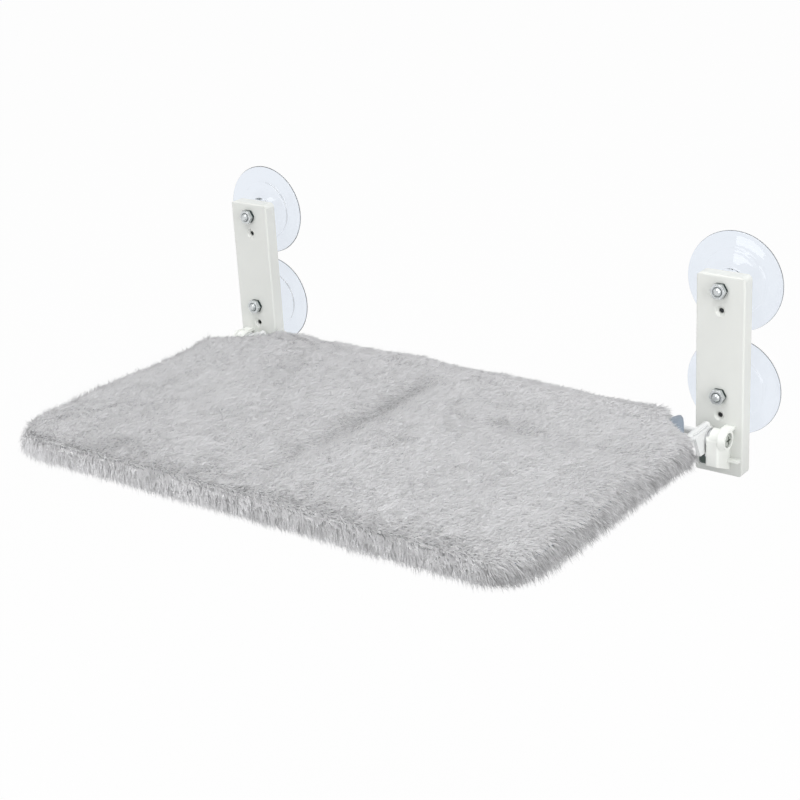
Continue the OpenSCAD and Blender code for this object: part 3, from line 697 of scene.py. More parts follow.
def stuffed_form(cushion, shrink):
    """The closed form of the cushion before it is stuffed: bulging sides and a low crown."""
    count = 240
    side_steps = 10
    top, bottom = COVER_TOP_Z - shrink + 2.0 * MM, COVER_BOTTOM_Z + shrink / 2
    mid, half = (top + bottom) / 2, (top - bottom) / 2
    draw = 3.5 * MM
    points, rings = [], 0
    for i in range(side_steps + 1):
        turn = math.pi * (i / side_steps - 0.5)
        inset = shrink + draw * (1 - math.cos(turn))
        points += [(p.x, p.y, mid + half * math.sin(turn)) for p in plan(inset, count)]
        rings += 1
    for inset, rise in ((12 * MM, 0.5 * MM), (26 * MM, 0.9 * MM), (60 * MM, CROWN), (100 * MM, CROWN)):
        points += [(p.x, p.y, top + rise) for p in plan(inset, count)]
        rings += 1
    centre = len(points)
    points += [(0, COVER_MID_Y, top + CROWN), (0, COVER_MID_Y, bottom)]
    faces = grid_faces(rings, count) + fan(centre, centre - count, count) + fan(centre + 1, 0, count, True)
    return outward(mesh_object("stuffed_form", points, faces))


def fold_share(cushion, x, y):
    """How much of the long fold's depth is felt at a place: full from the rear third forwards."""
    wander = 3 * MM * noise.noise(Vector((y * 25, 4.2, 0)))
    across = math.exp(-((x - cushion.fold_x - wander) / cushion.fold_w) ** 2)
    rear_fade = unit((-60 * MM - y) / (45 * MM))
    front_fade = unit((y - COVER_FRONT_Y - 8 * MM) / (180 * MM))
    return across * rear_fade * (0.3 + 0.7 * front_fade ** 2)


def cross_share(cushion, x, y):
    along = unit((x - 55 * MM) / (50 * MM))
    return along * math.exp(-((y - cushion.cross_y) / (7 * MM)) ** 2)


def simulated(form, cushion):
    """Remeshes the form and stuffs it with a cloth simulation that the folds hold down."""
    remesh = form.modifiers.new("Remesh", "REMESH")
    remesh.mode = "VOXEL"
    remesh.voxel_size = cushion.voxel
    baked(form, "stuffed_form")
    start = [v.co.copy() for v in form.data.vertices]
    pins = form.vertex_groups.new(name="sewn")
    for v in form.data.vertices:
        hold = fold_share(cushion, v.co.x, v.co.y) + 0.6 * cross_share(cushion, v.co.x, v.co.y)
        if v.co.z > COVER_MID_Z and hold > 0.2:
            pins.add([v.index], min(1.0, hold), "REPLACE")
        elif v.co.z < COVER_BOTTOM_Z + 2 * MM:
            pins.add([v.index], 1.0, "REPLACE")
    cloth = form.modifiers.new("Cloth", "CLOTH")
    settings = cloth.settings
    settings.quality = 4
    settings.use_pressure = True
    settings.uniform_pressure_force = cushion.pressure
    settings.tension_stiffness = 12
    settings.compression_stiffness = 6
    settings.vertex_group_mass = "sewn"
    settings.effector_weights.gravity = 0
    scene = bpy.context.scene
    cloth.point_cache.frame_start = 1
    cloth.point_cache.frame_end = CLOTH_FRAMES
    for step in range(1, CLOTH_FRAMES + 1):
        scene.frame_set(step)
        bpy.context.view_layer.update()
    evaluated = form.evaluated_get(bpy.context.evaluated_depsgraph_get())
    moved = [v.co.copy() for v in evaluated.data.vertices]
    form.modifiers.clear()
    scene.frame_set(1)
    for v, a, b in zip(form.data.vertices, start, moved):
        shift = b - a
        if shift.length > cushion.swell:
            shift = shift.normalized() * cushion.swell
        v.co = a + shift
    return form


def from_cut(cushion, x, y):
    """How far inside the line of the cut corners a place lies."""
    return (COVER_HALF_W + COVER_REAR_Y - cushion.cut - abs(x) - y) / math.sqrt(2)


def eased_share(share):
    """A share that starts and ends gently."""
    share = unit(share)
    return share * share * (3 - 2 * share)


def shaped(form, cushion):
    """Presses the folds and small wrinkles into the stuffed form, and keeps it inside its box."""
    smooth = form.modifiers.new("Smooth", "SMOOTH")
    smooth.factor = 0.5
    smooth.iterations = 4
    split = form.modifiers.new("Subdivision", "SUBSURF")
    split.levels = split.render_levels = 1
    baked(form, "stuffed_form")
    creases = form.data.attributes.new(CREASE, "FLOAT", "POINT")
    for v, crease in zip(form.data.vertices, creases.data):
        x, y, z = v.co
        upper = unit((z - COVER_MID_Z) / (4 * MM))
        edge = min(COVER_HALF_W - abs(x), y - COVER_FRONT_Y, COVER_REAR_Y - y)
        inner = unit((edge - 22 * MM) / (40 * MM))
        wave = noise.noise(Vector((x * 14, y * 18, 1.7))) * 0.9 * MM
        ripple = noise.noise(Vector((x * 45, y * 40, 5.1))) * 0.45 * MM
        sag = 1.2 * MM * inner
        drop_z = cushion.fold_depth * fold_share(cushion, x, y)
        drop_z += cushion.cross_depth * cross_share(cushion, x, y)
        pucker_at = math.exp(-(((x + 165 * MM) / (60 * MM)) ** 2 + ((y + 48 * MM) / (16 * MM)) ** 2))
        pucker = pucker_at * 0.9 * MM * math.sin((x * 0.35 + y) * 420)
        v.co.z += upper * (wave + ripple + pucker - sag - drop_z)
        # the mask of the folds, which shortens the strands there and paints shade into the pile
        crease.value = upper * min(1.0, fold_share(cushion, x, y) + 0.12 * cross_share(cushion, x, y)
                                   + max(0.0, -pucker / (1.2 * MM)))
        side = 1 - upper
        v.co.x += side * noise.noise(Vector((y * 22, z * 40, 3.3))) * 1.2 * MM * (1 if x > 0 else -1)
        v.co.y += side * noise.noise(Vector((x * 22, z * 40, 8.3))) * 1.2 * MM
        v.co.z = max(v.co.z, COVER_BOTTOM_Z)
        # the wall reaches into the cut corners above and below the rails
        corner = (abs(x) + y - (COVER_HALF_W + COVER_REAR_Y - cushion.cut - 16 * MM)) / (14 * MM)
        below = unit((LOOP_LOW.z + 3 * MM - z) / (3 * MM))
        above = unit((z - LOOP_HIGH.z + 1 * MM) / (3 * MM))
        reach = cushion.corner_lip * below + cushion.corner_brow * above
        push = reach * unit(corner) / math.sqrt(2)
        to_rear = min(COVER_REAR_Y - y, from_cut(cushion, x, y))
        to_left = x + COVER_HALF_W
        rim = upper * eased_share((30 * MM - to_rear) / (28 * MM))
        dip = 1 - 0.9 * math.exp(-((x - cushion.fold_x - 6 * MM) / (32 * MM)) ** 2)
        v.co.x -= cushion.left_reach * unit((26 * MM - to_left) / (14 * MM))
        tuck = unit((x - COVER_HALF_W + 26 * MM) / (14 * MM))
        v.co.x -= cushion.right_tuck * tuck * unit((-90 * MM - y) / (40 * MM))
        v.co.z += cushion.rear_lift * rim * dip
        v.co.y += cushion.rear_reach * rim * unit((y - COVER_REAR_Y + 18 * MM) / (10 * MM))
        v.co.x += math.copysign(push, x)
        v.co.y += push
    form.data.update()
    return form


def in_mouth(co, cut):
    """True in the open rear corners, where the rails come out between top and hem."""
    past_cut = abs(co.x) + co.y > COVER_HALF_W + COVER_REAR_Y - cut - 5 * MM
    in_height = LOOP_LOW.z + 0.6 * MM < co.z < LOOP_HIGH.z + 0.6 * MM
    return past_cut and in_height and abs(co.x) > COVER_HALF_W - 62 * MM


def opened(form, cushion):
    """Takes out the cover's underside inside the hem, and its mouths at the rear corners."""
    bm = bmesh.new()
    bm.from_mesh(form.data)
    gone = []
    for face in bm.faces:
        c = face.calc_center_median()
        under = c.z < COVER_BOTTOM_Z + 1.5 * MM and face.normal.z < -0.6
        edge = min(COVER_HALF_W - abs(c.x), c.y - COVER_FRONT_Y, COVER_REAR_Y - c.y)
        in_hem = min(edge, from_cut(cushion, c.x, c.y)) <= cushion.hem_w
        if (under and not in_hem) or in_mouth(c, cushion.cut):
            gone.append(face)
    bmesh.ops.delete(bm, geom=gone, context="FACES")
    bmesh.ops.recalc_face_normals(bm, faces=bm.faces)
    bm.to_mesh(form.data)
    bm.free()
    return form


def strand_mesh(width):
    """One strand of pile, one unit long up its own z axis, with its place along its length."""
    half = width / 2
    bend = 0.22
    points = [(-half, 0, 0), (half, 0, 0), (-half * 0.8, bend * 0.25, 0.5), (half * 0.8, bend * 0.25, 0.5),
              (0, bend, 1)]
    strand = mesh_object("strand", points, [(0, 1, 3, 2), (2, 3, 4)])
    along = strand.data.attributes.new(ALONG, "FLOAT", "POINT")
    for item, point in zip(along.data, points):
        item.value = point[2]
    return strand


def geometry_tree(name, inputs):
    return node_group(name, "GeometryNodeTree", [("Geometry", GEOMETRY, None)] + inputs,
                      [("Geometry", GEOMETRY)])


def add_tree(piece, tree, **values):
    """Puts a geometry tree on a piece and sets its named inputs."""
    made = piece.modifiers.new(tree.name, "NODES")
    made.node_group = tree
    labels = {item.name: item.identifier for item in tree.interface.items_tree
              if item.item_type == "SOCKET" and item.in_out == "INPUT"}
    for label, value in values.items():
        made[labels[label.replace("_", " ")]] = value
    return made


def realized(tree, geometry, start, end):
    """Ends a tree: instances become mesh and get the material."""
    real = put(tree, "GeometryNodeRealizeInstances", {"Geometry": geometry})
    painted = put(tree, "GeometryNodeSetMaterial", {"Geometry": real.outputs[0],
                  "Material": start["Material"]})
    tree.links.new(painted.outputs[0], end[0])


def pile_tree():
    """Strands over a skin: they lie over in swirls, and hang down at the sides."""
    tree, start, end = geometry_tree("Plush Pile", [
        ("Strand", OBJECT, None), ("Material", MATERIAL, None), ("Density", FLOAT, 1e6),
        ("Length", FLOAT, 7 * MM), ("Side Length", FLOAT, 0.3), ("Lean", FLOAT, 1.5),
        ("Swirl", FLOAT, 20.0), ("Locks", FLOAT, 150.0), ("Tufts", FLOAT, 300.0),
        ("From X", FLOAT, -1.0), ("To X", FLOAT, 1.0), ("Seed", "NodeSocketInt", 1)])
    place = put(tree, "GeometryNodeInputPosition").outputs[0]
    x = axes(tree, place)[0]
    above = put(tree, "FunctionNodeCompare", {"A": x, "B": start["From X"]}, operation="GREATER_EQUAL")
    below = put(tree, "FunctionNodeCompare", {"A": x, "B": start["To X"]}, operation="LESS_THAN")
    both = put(tree, "FunctionNodeBooleanMath", {0: above.outputs[0], 1: below.outputs[0]},
               operation="AND")
    spread = put(tree, "GeometryNodeDistributePointsOnFaces",
                 {"Mesh": start["Geometry"], "Selection": both.outputs[0],
                  "Density": start["Density"], "Seed": start["Seed"]})
    normal = put(tree, "GeometryNodeCaptureAttribute", {"Geometry": spread.outputs["Points"]})
    normal.capture_items.new("VECTOR", "Normal")
    tree.links.new(spread.outputs["Normal"], normal.inputs["Normal"])
    facing = normal.outputs["Normal"]
    steep = 1.0 - axes(tree, facing)[2].math("ABSOLUTE")
    # the lay of the pile: across the width, turned by slow noise, and down where the skin is steep
    lock = clouds(tree, place, start["Locks"], 1.0)
    turn = ((clouds(tree, place, start["Swirl"], 1.5) - 0.5) * 0.9 + (lock - 0.5)
            + drawn_lot(tree, -0.26, 0.26, 11) + NAP_TURN)
    lay = put(tree, "ShaderNodeCombineXYZ", {"X": turn.math("COSINE"), "Y": turn.math("SINE")})
    hang = put(tree, "ShaderNodeCombineXYZ", {"Z": steep * -1.2})
    lay = vector_node(tree, "ADD", lay.outputs[0], hang.outputs[0])
    into = put(tree, "ShaderNodeVectorMath", {0: lay, 1: facing}, operation="DOT_PRODUCT")
    along_skin = vector_node(tree, "SUBTRACT", lay, scaled(tree, facing, into.outputs["Value"]))
    lay = vector_node(tree, "NORMALIZE", along_skin)
    lean = start["Lean"] * drawn_lot(tree, 0.55, 1.3, 23)
    along = vector_node(tree, "ADD", facing, scaled(tree, lay, lean))
    # each strand is rolled about its own length, so that no view sees them all from their edges
    sideways = scaled(tree, vector_node(tree, "CROSS_PRODUCT", facing, lay),
                      drawn_lot(tree, -1.6, 1.6, 47))
    rolled = vector_node(tree, "ADD", scaled(tree, facing, -1.0), sideways)
    upright = put(tree, "FunctionNodeAlignRotationToVector", {"Vector": along}, axis="Z")
    turned = put(tree, "FunctionNodeAlignRotationToVector",
                 {"Rotation": upright.outputs[0], "Vector": rolled}, axis="Y", pivot_axis="Z")
    crease = put(tree, "GeometryNodeInputNamedAttribute", {"Name": CREASE}, data_type="FLOAT")
    crease = Field(tree, crease.outputs[0])
    longer = (1.0 + steep * start["Side Length"]) * (0.85 + lock * 0.3) * (1.0 - crease * 0.3)
    size = drawn_lot(tree, 0.65, 1.15, 5) * longer * start["Length"]
    scale = put(tree, "ShaderNodeCombineXYZ", {"X": 1.0, "Y": size, "Z": size})
    info = put(tree, "GeometryNodeObjectInfo", {"Object": start["Strand"]})
    strands = put(tree, "GeometryNodeInstanceOnPoints",
                  {"Points": normal.outputs["Geometry"], "Instance": info.outputs["Geometry"],
                   "Rotation": turned.outputs[0], "Scale": scale.outputs[0]})
    # tufts of one tone are drawn out along the lay on top, and down the sides
    at_side = (steep * 2.5).math("MINIMUM", 1.0)
    stretch = mixed(tree, "VECTOR", at_side, (0.45, 1.5, 1.0), (1.3, 1.3, 0.35))
    tuft = clouds(tree, vector_node(tree, "MULTIPLY", place, stretch), start["Tufts"], 1.0)
    tone = drawn_lot(tree, -0.25, 0.25, 31) + ranged(tree, tuft, 0.3, 0.7, -0.06, 0.94)
    # over the edges the pile parts into locks, with painted shade between them, and the folds get painted
    # shade
    gaps = clouds(tree, vector_node(tree, "MULTIPLY", place, (1.0, 1.0, 0.35)), 300.0, 1.0)
    tone = tone + at_side * ((gaps - 0.5) * 1.6) - crease * 0.55
    toned = put(tree, "GeometryNodeStoreNamedAttribute",
                {"Geometry": strands.outputs[0], "Name": TONE_AND_SHADE, "Value": tone},
                data_type="FLOAT", domain="INSTANCE")
    soft = mixed(tree, "VECTOR", 0.1, facing, vector_node(tree, "NORMALIZE", along))
    lit = put(tree, "GeometryNodeStoreNamedAttribute",
              {"Geometry": toned.outputs[0], "Name": FACING,
               "Value": vector_node(tree, "NORMALIZE", soft)},
              data_type="FLOAT_VECTOR", domain="INSTANCE")
    realized(tree, lit.outputs[0], start, end)
    return tree


class PERCH_OT_plush_cover(bpy.types.Operator):
    """Stuffs the plush cover, opens its mouths and grows its pile"""
    bl_idname = "perch.plush_cover"
    bl_label = "Plush Cover"

    def execute(self, context):
        cushion = context.scene.perch_cushion
        pile = context.scene.perch_pile
        form = stuffed_form(cushion, cushion.swell)
        form = opened(shaped(simulated(form, cushion), cushion), cushion)
        form.name = "plush_cover"
        strand = strand_mesh(pile.width)
        tree = pile_tree()
        width = 2 * (COVER_HALF_W + 5 * MM)
        for band in range(pile.bands):
            strands = new_object(f"plush_pile_{band + 1}", form.data.copy())
            strands.data.materials.clear()
            add_tree(strands, tree, Strand=strand, Material=MATERIALS["pile"], Density=pile.density,
                     Length=pile.length, Side_Length=pile.side_share, Lean=pile.lean,
                     Swirl=pile.swirl, Locks=pile.locks, Tufts=pile.tufts,
                     From_X=width * (band / pile.bands - 0.5),
                     To_X=width * ((band + 1) / pile.bands - 0.5), Seed=pile.seed + band)
            baked(strands)
            finish_piece(strands, MATERIALS["pile"], PERCH, "grey_plush")
        drop(strand)
        thickened(form, cushion.skin_t, -1)
        finish_piece(form, MATERIALS["skin"], PERCH, "grey_plush", "plush_cover")
        return {"FINISHED"}


# Cloth layers under the plush

LAYER_POINTS = 300
LAYER_T = 0.8 * MM
LAYER_WAVE = 0.3 * MM
# Share of the way to the middle up to which the lining's edge is raised
FRILL_SHARE = 0.05


def cloth_sheet(name, z, inset, cut, edge_shift=None):
    """A flat layer with the cover's plan, gently waved, its edge moved by edge_shift(point, share)."""
    count = LAYER_POINTS
    shares = (0.0, 0.015, 0.03, 0.06, 0.12, 0.2, 0.3, 0.42, 0.55, 0.7, 0.85)
    outline = plan(inset, count, cut)
    points = []
    for share in shares:
        for p in outline:
            q = p.lerp(Vector((0, COVER_MID_Y)), share)
            lift = LAYER_WAVE * noise.noise(Vector((q.x * 30, q.y * 30, 2.2)))
            shift = edge_shift(p, share) if edge_shift else Vector((0, 0, 0))
            points.append(Vector((q.x, q.y, z + lift)) + shift)
    centre = len(points)
    points.append(Vector((0, COVER_MID_Y, z)))
    faces = grid_faces(len(shares), count) + fan(centre, centre - count, count)
    sheet = outward(mesh_object(name, points, faces))
    return thickened(sheet, LAYER_T)


def outline_area(points):
    loop = points[1:] + points[:1]
    return abs(sum(a.x * b.y - b.x * a.y for a, b in zip(points, loop))) / 2


class PERCH_OT_cloth(bpy.types.Operator):
    """Cuts the lining, the panel below, the flap and the hook and loop strips"""
    bl_idname = "perch.cloth"
    bl_label = "Cloth Layers"

    def execute(self, context):
        cushion = context.scene.perch_cushion
        self.lining(cushion)
        self.panel(cushion)
        self.flap_and_strips()
        return {"FINISHED"}

    def lining(self, cushion):
        inset = COVER_HALF_W - box("inner_lining")[1].x
        show = 4.5 * MM
        cut = cushion.cut - show * math.sqrt(2) - inset * (2 * math.sqrt(2) - 2)

        def frill(p, share):
            """Raises the layer's edge at the cut corners in a wave, most of all on the right."""
            corner = (abs(p.x) + p.y) - (COVER_HALF_W + COVER_REAR_Y - cushion.cut - 12 * MM)
            if corner < 0 or share > FRILL_SHARE:
                return Vector((0, 0, 0))
            fade = min(1.0, corner / (14 * MM)) * (1 - share / FRILL_SHARE)
            along = (abs(p.x) - p.y - (COVER_HALF_W - COVER_REAR_Y)) / cushion.cut
            side = 1 if p.x > 0 else -1
            height = 9.0 * MM if side > 0 else 1.0 * MM
            wave = math.sin(2.2 + 5.2 * along)
            return Vector((side * 1.5 * MM * wave, 1.5 * MM * wave, height * (0.7 + 0.5 * wave))) * fade

        self.layer("inner_lining", cut, frill)

    def panel(self, cushion):
        self.layer("under_panel", cushion.cut)

    def layer(self, node, cut, edge_shift=None):
        """A layer with the cover's plan at its node's height."""
        box_low, box_high = box(node)
        inset = COVER_HALF_W - box_high.x
        piece = cloth_sheet(node, (box_low.z + box_high.z) / 2, inset, cut, edge_shift)
        finish_piece(piece, MATERIALS["lining"], PERCH, "blue_grey_cloth", node)
        outline = plan(inset, LAYER_POINTS, cut)
        outline_area(outline)

    def flap_and_strips(self):
        for node, material, slot in (("closing_flap", "lining", "blue_grey_cloth"),
                                     ("loop_strip", "loop", "loop_tape"),
                                     ("hook_strip", "hook", "hook_tape")):
            piece = self.strip(node)
            finish_piece(piece, MATERIALS[material], PERCH, slot, node)
            box_low, box_high = box(node)

    def strip(self, node):
        """A strip of cloth as large as its node, finely divided, with a soft edge."""
        box_low, box_high = box(node)
        across, along = 120, 16
        thickness = (box_high.z - box_low.z) * 0.7
        points = []
        for j in range(along + 1):
            for i in range(across + 1):
                x = box_low.x + (box_high.x - box_low.x) * i / across
                y = box_low.y + (box_high.y - box_low.y) * j / along
                lift = 0.1 * MM * noise.noise(Vector((x * 40, y * 40, box_low.z * 900)))
                points.append((x, y, (box_low.z + box_high.z) / 2 + lift))
        piece = mesh_object(node, points, grid_faces(along + 1, across + 1, rings=False))
        return thickened(piece, thickness)


def path_tree():
    """Stitches set at steady steps along a path, turned to follow it."""
    tree, out, end = geometry_tree("Stitch Row", [
        ("Material", MATERIAL, None), ("Step", FLOAT, 3 * MM), ("Long", FLOAT, 2 * MM),
        ("Thick", FLOAT, 0.3 * MM)])
    curve = put(tree, "GeometryNodeMeshToCurve", {"Mesh": out["Geometry"]})
    points = put(tree, "GeometryNodeCurveToPoints", {"Curve": curve.outputs[0], "Length": out["Step"]},
                 mode="LENGTH")
    stitch = put(tree, "GeometryNodeMeshIcoSphere", {"Radius": 0.5, "Subdivisions": 1})
    scale = put(tree, "ShaderNodeCombineXYZ", {"X": out["Thick"], "Y": out["Thick"], "Z": out["Long"]})
    rows = put(tree, "GeometryNodeInstanceOnPoints",
               {"Points": points.outputs["Points"], "Instance": stitch.outputs[0],
                "Rotation": points.outputs["Rotation"], "Scale": scale.outputs[0]})
    realized(tree, rows.outputs[0], out, end)
    return tree


def path_object(name, points, closed):
    mesh = bpy.data.meshes.new(name)
    edges = [(i, i + 1) for i in range(len(points) - 1)]
    if closed:
        edges.append((len(points) - 1, 0))
    mesh.from_pydata([tuple(p) for p in points], edges, [])
    return new_object(name, mesh)


def squared(share):
    """Turns the cosine or sine of a round section into that of a squarer one."""
    return math.copysign(abs(share) ** 0.6, share)


class PERCH_OT_seam(bpy.types.Operator):
    """Sews the binding along the lower seam, with its stitches, and stitches the flap"""
    bl_idname = "perch.seam"
    bl_label = "Seam Binding"

    def execute(self, context):
        hardware = context.scene.perch_hardware
        box_low, box_high = box("seam_binding")
        inset = COVER_HALF_W - box_high.x
        count, around = 400, 12
        half_w, half_t = 2.4 * MM, (box_high.z - box_low.z) / 2
        mid_z = (box_low.z + box_high.z) / 2
        points = []
        for i in range(around):
            turn = 2 * math.pi * i / around
            offset = inset + half_w + half_w * squared(math.cos(turn))
            z = mid_z + half_t * squared(math.sin(turn))
            points += [Vector((p.x, p.y, z + 0.15 * MM * math.sin(j * 1.9)))
                       for j, p in enumerate(plan(offset, count))]
        piece = outward(mesh_object("seam_binding", points, grid_faces(around, count, joined=True)))
        finish_piece(piece, MATERIALS["binding"], PERCH, "dark_binding", "seam_binding")
        tree = path_tree()
        seam = [Vector((p.x, p.y, box_low.z - 0.05 * MM)) for p in plan(inset + half_w, count)]
        self.stitches("binding_stitches", seam, True, tree, hardware.stitch)
        flap_low, flap_high = box("closing_flap")
        edge = 3 * MM
        left, right = flap_low.x + edge, flap_high.x - edge
        front, rear = flap_low.y + edge, flap_high.y - edge
        hem = [Vector((x, y, flap_low.z + 0.05 * MM))
               for x, y in ((left, rear), (left, front), (right, front), (right, rear))]
        self.stitches("flap_stitches", hem, False, tree, hardware.stitch)
        return {"FINISHED"}

    def stitches(self, name, points, closed, tree, step):
        path = path_object(name, points, closed)
        add_tree(path, tree, Material=MATERIALS["thread"], Step=step, Long=step * 0.7, Thick=0.5 * MM)
        baked(path)
        finish_piece(path, MATERIALS["thread"], PERCH, "dark_binding")


PAD_CORNER_R = 31.7 * MM


class PERCH_OT_pad(bpy.types.Operator):
    """Lays the foam pad inside the frame"""
    bl_idname = "perch.pad"
    bl_label = "Foam Pad"

    def execute(self, context):
        box_low, box_high = box("foam_pad")
        cushion = context.scene.perch_cushion
        inset = COVER_HALF_W - box_high.x
        rings, count = [], 260
        edge = 1.5 * MM
        for grow, z in ((edge, box_low.z), (0, box_low.z + edge),
                        (0, box_high.z - edge), (edge, box_high.z)):
            corners = plan_corners(inset + grow, cushion.cut, PAD_CORNER_R + inset, cushion.cut_r)
            outline = spaced(corners, count)
            rings += [Vector((p.x, p.y, z)) for p in outline]
        centre = len(rings)
        rings += [Vector((0, COVER_MID_Y, box_low.z)), Vector((0, COVER_MID_Y, box_high.z))]
        faces = grid_faces(4, count) + fan(centre, 0, count, True) + fan(centre + 1, centre - count, count)
        piece = outward(mesh_object("foam_pad", rings, faces, smooth=False))
        finish_piece(piece, MATERIALS["foam"], PERCH, "foam", "foam_pad")
        return {"FINISHED"}


# Hardware on the window

def lathe(name, section, steps=96):
    """Turns a closed section of (radius, distance from the glass) about the line through the stud."""
    bm = bmesh.new()
    ring = [bm.verts.new((r, -t, 0)) for r, t in section]
    edges = [bm.edges.new((ring[i], ring[(i + 1) % len(ring)])) for i in range(len(ring))
             if not (section[i][0] < 1e-6 and section[(i + 1) % len(section)][0] < 1e-6)]
    bmesh.ops.spin(bm, geom=ring + edges, cent=(0, 0, 0), axis=(0, 1, 0), angle=2 * math.pi,
                   steps=steps, use_duplicate=False)
    bmesh.ops.remove_doubles(bm, verts=bm.verts, dist=0.005 * MM)
    bmesh.ops.recalc_face_normals(bm, faces=bm.faces)
    return bmesh_object(name, bm)


def eased(a, b, share):
    return a + (b - a) * (1 - math.cos(math.pi * share)) / 2


def cup_section(hardware):
    """Section of a cup: hollow, land, lip, thin skirt, step, shoulder, neck and the stud's pocket."""
    r, step_r, neck_r = CUP_D / 2, hardware.cup_step_d / 2, hardware.cup_neck_d / 2
    land, step_t, shoulder_t, root_t = 2.2 * MM, 2.2 * MM, 4.2 * MM, 8.2 * MM
    height = -BRACKET_BACK_Y
    floor_t = hardware.cup_hollow + 2.6 * MM
    stud_r, head_r, head_t = hardware.stud_d / 2 + 0.05 * MM, 7.05 * MM, 2.7 * MM
    points = [(r * 0.001 + (r - land) * i / 14, eased(hardware.cup_hollow, 0, i / 14)) for i in range(15)]
    points[0] = (0, hardware.cup_hollow)
    lip = hardware.cup_lip_t
    points += [(r - 0.5 * land, 0.0), (r - 0.12 * MM, 0.1 * MM), (r, lip / 2), (r - 0.15 * MM, lip)]
    skirt_r = r - 1.2 * MM
    points += [(skirt_r - (skirt_r - step_r) * i / 12, eased(lip, step_t, i / 12)) for i in range(13)]
    points += [(step_r - 0.5 * MM, step_t + 0.35 * MM), (step_r - 0.8 * MM, shoulder_t - 0.5 * MM),
               (step_r - 1.3 * MM, shoulder_t)]
    for i in range(1, 11):
        share = i / 10
        points.append((step_r - 1.3 * MM + (neck_r - step_r + 1.3 * MM) * share,
                       shoulder_t + (root_t - shoulder_t) * share ** 2))
    points += [(neck_r - 0.1 * MM, root_t + 0.6 * MM), (neck_r - 0.2 * MM, height - 0.6 * MM),
               (neck_r - 0.8 * MM, height - 0.02 * MM), (stud_r, height - 0.02 * MM),
               (stud_r, floor_t + head_t), (head_r, floor_t + head_t), (head_r, floor_t), (0, floor_t)]
    return points


def nut_mesh(name, across, thickness, bore_r):
    """A hexagon nut up its own -y axis, its corners cut by cones and its bore countersunk."""
    corner_r = across / 2 / math.cos(math.pi / 6)
    cone = (corner_r - across / 2) * 0.62
    steps = 96
    levels = [(0.0, cone * 0.5), (cone * 0.35, cone * 0.12), (cone * 0.9, 0.0),
              (thickness - cone * 1.1, 0.0), (thickness - cone * 0.35, cone * 0.75), (thickness, cone * 1.7)]
    rings = []
    for t, cut in levels:
        ring = []
        for i in range(steps):
            a = 2 * math.pi * i / steps
            flat = (a % (math.pi / 3)) - math.pi / 6
            r = min(across / 2 / math.cos(flat), corner_r - cut)
            ring.append((r * math.cos(a), -t, r * math.sin(a)))
        rings.append(ring)
    for t, r in ((thickness, bore_r + 0.9 * MM), (thickness - 0.9 * MM, bore_r), (0.0, bore_r)):
        rings.append([(r * math.cos(2 * math.pi * i / steps), -t, r * math.sin(2 * math.pi * i / steps))
                      for i in range(steps)])
    points = [p for ring in rings for p in ring]
    return outward(mesh_object(name, points, grid_faces(len(rings), steps, joined=True), smooth=False))


def grid_tree():
    """Copies of a piece on the four stud places: two columns and two rows."""
    tree, out, end = geometry_tree("Stud Places", [
        ("Piece", OBJECT, None), ("Material", MATERIAL, None),
        ("Spacing", FLOAT, 0.4), ("Pitch", FLOAT, 0.1), ("Out", FLOAT, 0.0)])
    grid = put(tree, "GeometryNodeMeshGrid", {"Size X": out["Spacing"], "Size Y": out["Pitch"],
               "Vertices X": 2, "Vertices Y": 2})
    where = put(tree, "ShaderNodeCombineXYZ", {"Y": out["Out"]})
    upright = put(tree, "GeometryNodeTransform", {"Geometry": grid.outputs["Mesh"],
                  "Translation": where.outputs[0], "Rotation": (math.pi / 2, 0, 0)})
    info = put(tree, "GeometryNodeObjectInfo", {"Object": out["Piece"]})
    copies = put(tree, "GeometryNodeInstanceOnPoints",
                 {"Points": upright.outputs[0], "Instance": info.outputs["Geometry"]})
    realized(tree, copies.outputs[0], out, end)
    return tree


def on_studs(name, piece, tree, material, out):
    """Puts a piece drawn at the origin on all four studs, at a distance in front of the glass."""
    holder = new_object(name, bpy.data.meshes.new(name))
    add_tree(holder, tree, Piece=piece, Material=material, Spacing=2 * BRACKET_X, Pitch=STUD_PITCH, Out=out)
    baked(holder)
    drop(piece)
    return holder


def thread_mesh(name, r, pitch, length):
    """A thread's ridge: a triangle swept along a helix up the -y axis, fading at its ends."""
    turns = length / pitch
    steps = int(turns * 40)
    root, half = -0.12 * MM, 0.42 * pitch
    points = []
    for i in range(steps + 1):
        share = i / steps
        a = 2 * math.pi * turns * share
        fade = min(1.0, share * steps / 12, (1 - share) * steps / 12)
        t = length * share
        for dr, dt in ((root, -half), (half * 0.55 * fade, 0.0), (root, half)):
            points.append(((r + dr) * math.cos(a), -(t + dt), (r + dr) * math.sin(a)))
    last = steps * 3
    faces = grid_faces(steps + 1, 3) + [(0, 1, 2), (last + 2, last + 1, last)]
    return outward(mesh_object(name, points, faces))


